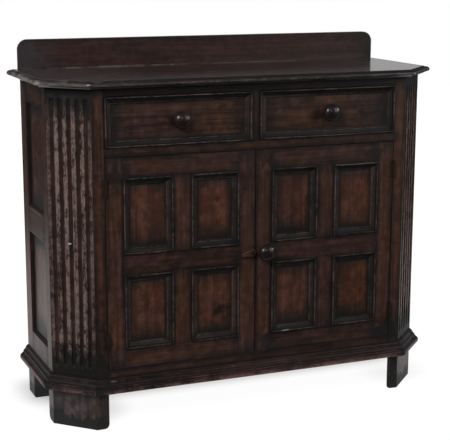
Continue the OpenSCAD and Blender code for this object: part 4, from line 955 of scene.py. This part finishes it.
def knob(node):
    low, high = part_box(node)
    middle = (low + high) / 2
    faceY = low.y + knobShape["length"]
    headY = knobShape["length"] - knobShape["head"]
    start = math.asin((knobShape["neck"] + 0.001) / knobShape["radius"])
    curve = [(knobShape["foot"] + x, y) for x, y in knobShape["footCurve"]]
    curve += [(knobShape["neck"] + x, y) for x, y in knobShape["neckCurve"]]
    spigotEnd = (knobShape["spigot"], faceY - high.y)
    spigotStart = (knobShape["spigot"], 0)
    line = smoothLine([[(0, faceY - high.y), spigotEnd], [spigotEnd, spigotStart], [spigotStart, curve[0]],
                       curve])
    head = []
    for i in range(knobShape["headSteps"] + 1):
        angle = start - math.pi / 2 + (math.pi - start) * i / knobShape["headSteps"]
        head.append((knobShape["radius"] * math.cos(angle), headY + knobShape["head"] * math.sin(angle)))
    points = [(p.x, p.y) for p in line[:-1]] + head[:-1] + [(0.0, knobShape["length"])]
    bm = newMesh()
    worn = bm.verts.layers.float["worn"]
    verts = []
    for radius, out in points:
        vert = bm.verts.new((radius, 0, out))
        vert[worn] = knobShape["rubbed"] if out > headY and radius > knobShape["rubbedFrom"] else 0.0
        verts.append(vert)
    edges = [bm.edges.new((a, b)) for a, b in zip(verts, verts[1:])]
    bmesh.ops.spin(bm, geom=verts + edges, cent=(0, 0, 0), axis=(0, 0, 1), dvec=(0, 0, 0),
                   angle=math.tau, steps=knobShape["turns"], use_merge=True)
    bmesh.ops.remove_doubles(bm, verts=bm.verts, dist=weld)
    bmesh.ops.recalc_face_normals(bm, faces=bm.faces)
    bmesh.ops.transform(bm, matrix=onFront(middle.x, faceY, middle.z), verts=bm.verts)
    markBoards(bm, 0.0, [1, 0, 2])
    makePiece(node, bm, "knobWood", knobShape["smooth"])


for node in ("left_drawer_knob", "right_drawer_knob", "right_door_knob"):
    knob(node)

# Turn button, a drop shape that turns on its screw at the round end
buttonShape = {"round": 0.010, "tip": 0.0035, "length": 0.030, "thick": 0.008, "tilt": 11.0,
               "arris": 0.0016, "roundSteps": 36, "tipSteps": 14}


def arcPoints(middle, radius, start, end, steps):
    angles = [math.radians(start + (end - start) * i / steps) for i in range(steps + 1)]
    return [(middle[0] + radius * math.cos(a), middle[1] + radius * math.sin(a)) for a in angles]


def turnButton():
    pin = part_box("turn_button_screw")
    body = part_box("turn_button")
    pivot = ((pin[0].x + pin[1].x) / 2, (pin[0].z + pin[1].z) / 2)
    way = 180 + buttonShape["tilt"]
    spread = math.degrees(math.acos((buttonShape["round"] - buttonShape["tip"]) / buttonShape["length"]))
    tip = [buttonShape["length"] * turned(math.radians(way)) for turned in (math.cos, math.sin)]
    outline = arcPoints((0, 0), buttonShape["round"], way + spread, way + 360 - spread,
                        buttonShape["roundSteps"])
    outline += arcPoints(tip, buttonShape["tip"], way - spread, way + spread, buttonShape["tipSteps"])
    bm = newMesh()
    face = bm.faces.new([bm.verts.new((x, y, 0)) for x, y in outline])
    swept = bmesh.ops.extrude_face_region(bm, geom=[face])
    for vert in onlyVerts(swept["geom"]):
        vert.co.z = buttonShape["thick"]
    bmesh.ops.recalc_face_normals(bm, faces=bm.faces)
    soften(bm, buttonShape["arris"], 3, 60, 0.0001)
    # the grain runs along the button, so it is marked before it is turned
    bmesh.ops.transform(bm, matrix=Matrix.Rotation(-math.radians(way), 4, "Z"), verts=bm.verts)
    markBoards(bm)
    bmesh.ops.transform(bm, matrix=onFront(pivot[0], body[1].y, pivot[1], way), verts=bm.verts)
    makePiece("turn_button", bm, "buttonWood")


turnButton()
print("knobs and turn button made")

# Camera at the photographed angle
cameraView = {"place": (-1.3123, -3.1681, 1.2169), "turn": (78.088, -0.1, -22.238), "lens": 100.24,
              "sensor": 36}
cameraData = bpy.data.cameras.new("camera")
cameraData.lens = cameraView["lens"]
cameraData.sensor_width = cameraView["sensor"]
camera = intoScene("camera", cameraData)
camera.location = cameraView["place"]
camera.rotation_euler = [math.radians(a) for a in cameraView["turn"]]
bpy.context.scene.camera = camera

# Pale floor: white paper that keeps a light shadow near the cabinet. Rays other than the camera's
# meet the paper only beside and behind the cabinet, so the dark front stays free of haze
floorLook = {"size": 14.0, "paper": (0.80, 0.80, 0.80), "beyond": (0.035, 0.034, 0.033), "glow": 0.86,
             "glowStrength": 1.12, "front": (-0.60, -0.20), "reach": (1.9, 2.6), "shadowReach": (0.8, 1.7),
             "mirrorFront": (-0.25, -0.05), "mirrorGlow": 0.78, "underneath": (0.0, 0.14), "sink": 0.60,
             "feet": [(-0.43, -0.01, 0.32), (0.52, -0.05, 0.10), (-0.52, 0.17, 0.12), (0.52, 0.17, 0.12)],
             "footReach": (0.02, 0.15), "sinkSide": (0.50, 0.60), "sinkBack": (0.20, 0.36)}


def makeFloor():
    paint = Painter(bpy.data.materials.new("paleFloor"))
    position = paint.position()
    x, y = paint.split(position)[:2]
    away = paint.vector("LENGTH", position, (0, 0, 0))
    rays = paint.rays("Camera")
    onPaper = paint.fade(y, *floorLook["front"]) * paint.fade(away, *floorLook["reach"], 1.0, 0.0)
    colour = paint.blend(onPaper, floorLook["beyond"], floorLook["paper"])
    colour = paint.blend(rays, colour, floorLook["paper"])
    shade = paint.add("ShaderNodeBsdfDiffuse", {}, {"Color": colour})
    glow = paint.add("ShaderNodeEmission", {}, {
        "Color": (1, 1, 1, 1), "Strength": floorLook["glowStrength"]})
    # painted shadow: the floor is made darker under the cabinet and round its feet
    sink = paint.fade(y, *floorLook["underneath"], 0.0, floorLook["sink"])
    sink = sink * paint.fade(abs(x), *floorLook["sinkSide"], 1.0, 0.0)
    sink = sink * paint.fade(y, *floorLook["sinkBack"], 1.0, 0.0)
    for footX, footY, footShadow in floorLook["feet"]:
        gap = paint.vector("LENGTH", paint.join(x - footX, y - footY, 0.0), (0, 0, 0))
        sink = sink + paint.fade(gap, *floorLook["footReach"], footShadow, 0.0)
    factor = rays * (paint.fade(away, *floorLook["shadowReach"], floorLook["glow"], 1.0) - sink)
    mirrored = paint.rays("Glossy") * (1.0 - rays)
    shown = paint.fade(y, *floorLook["mirrorFront"]) * paint.fade(away, *floorLook["reach"], 1.0, 0.0)
    factor = factor + mirrored * shown * floorLook["mirrorGlow"]
    mixed = paint.add("ShaderNodeMixShader", {}, {0: factor, 1: shade, 2: glow})
    paint.add("ShaderNodeOutputMaterial", {}, {"Surface": mixed})
    bm = bmesh.new()
    bmesh.ops.create_grid(bm, x_segments=1, y_segments=1, size=floorLook["size"] / 2)
    mesh = bpy.data.meshes.new("floor")
    bm.to_mesh(mesh)
    bm.free()
    mesh.materials.append(paint.owner)
    intoScene("floor", mesh)


makeFloor()

# Soft studio light: a big key from the left, a fill from the right, a light for the back, and
# three narrow windows round the front that give the knobs their small lights
lampRows = {
    "key": {"place": (-2.6, -2.4, 2.7), "aim": (0.0, 0.0, 0.45), "size": (1.5, 1.5), "power": 118},
    "fill": {"place": (2.6, -2.2, 1.8), "aim": (0.0, 0.0, 0.5), "size": (1.8, 1.8), "power": 28},
    "windowLeft": {"place": (-2.6, 0.3, 1.8), "aim": (0.0, -0.2, 0.6), "size": (0.30, 0.40), "power": 8},
    "windowMiddle": {"place": (-0.3, -3.6, 2.1), "aim": (0.0, -0.2, 0.6), "size": (0.35, 0.35), "power": 9},
    "windowRight": {"place": (3.1, -0.6, 1.5), "aim": (0.0, -0.2, 0.6), "size": (0.55, 0.70), "power": 22},
    "back": {"place": (0.8, 3.4, 0.46), "aim": (0.0, 0.2, 0.5), "size": (1.8, 0.7), "power": 48},
}


def makeLamps():
    for name, row in lampRows.items():
        light = bpy.data.lights.new(name, "AREA")
        light.shape = "RECTANGLE"
        light.size, light.size_y = row["size"]
        light.energy = row["power"]
        lamp = intoScene(name, light)
        lamp.location = row["place"]
        aim = Vector(row["aim"]) - Vector(row["place"])
        lamp.rotation_euler = aim.to_track_quat("-Z", "Y").to_euler()


# A dim room with a white backdrop low behind the cabinet, which the top board mirrors
roomLook = {"dim": 0.05, "backdrop": 0.52, "toward": (0.38, 0.92, 0.10), "spread": (0.86, 0.97),
            "height": (0.16, 0.42), "above": 0.1}


def makeRoom():
    world = bpy.data.worlds.new("room")
    bpy.context.scene.world = world
    paint = Painter(world)
    direction = paint.position("Generated")
    z = paint.split(direction)[2]
    facing = paint.vector("DOT_PRODUCT", direction, Vector(roomLook["toward"]).normalized())
    level = paint.fade(facing, *roomLook["spread"], roomLook["dim"], roomLook["backdrop"])
    level = level * paint.fade(z, *roomLook["height"], 1.0, roomLook["above"]) + roomLook["dim"]
    rays = paint.rays("Camera")
    level = level * (1.0 - rays) + rays
    paint.add("ShaderNodeOutputWorld", {}, {
        "Surface": paint.add("ShaderNodeBackground", {}, {"Color": (1, 1, 1, 1), "Strength": level})})


makeLamps()
makeRoom()
bpy.context.scene.view_settings.view_transform = "Standard"
print("camera, floor and light set")
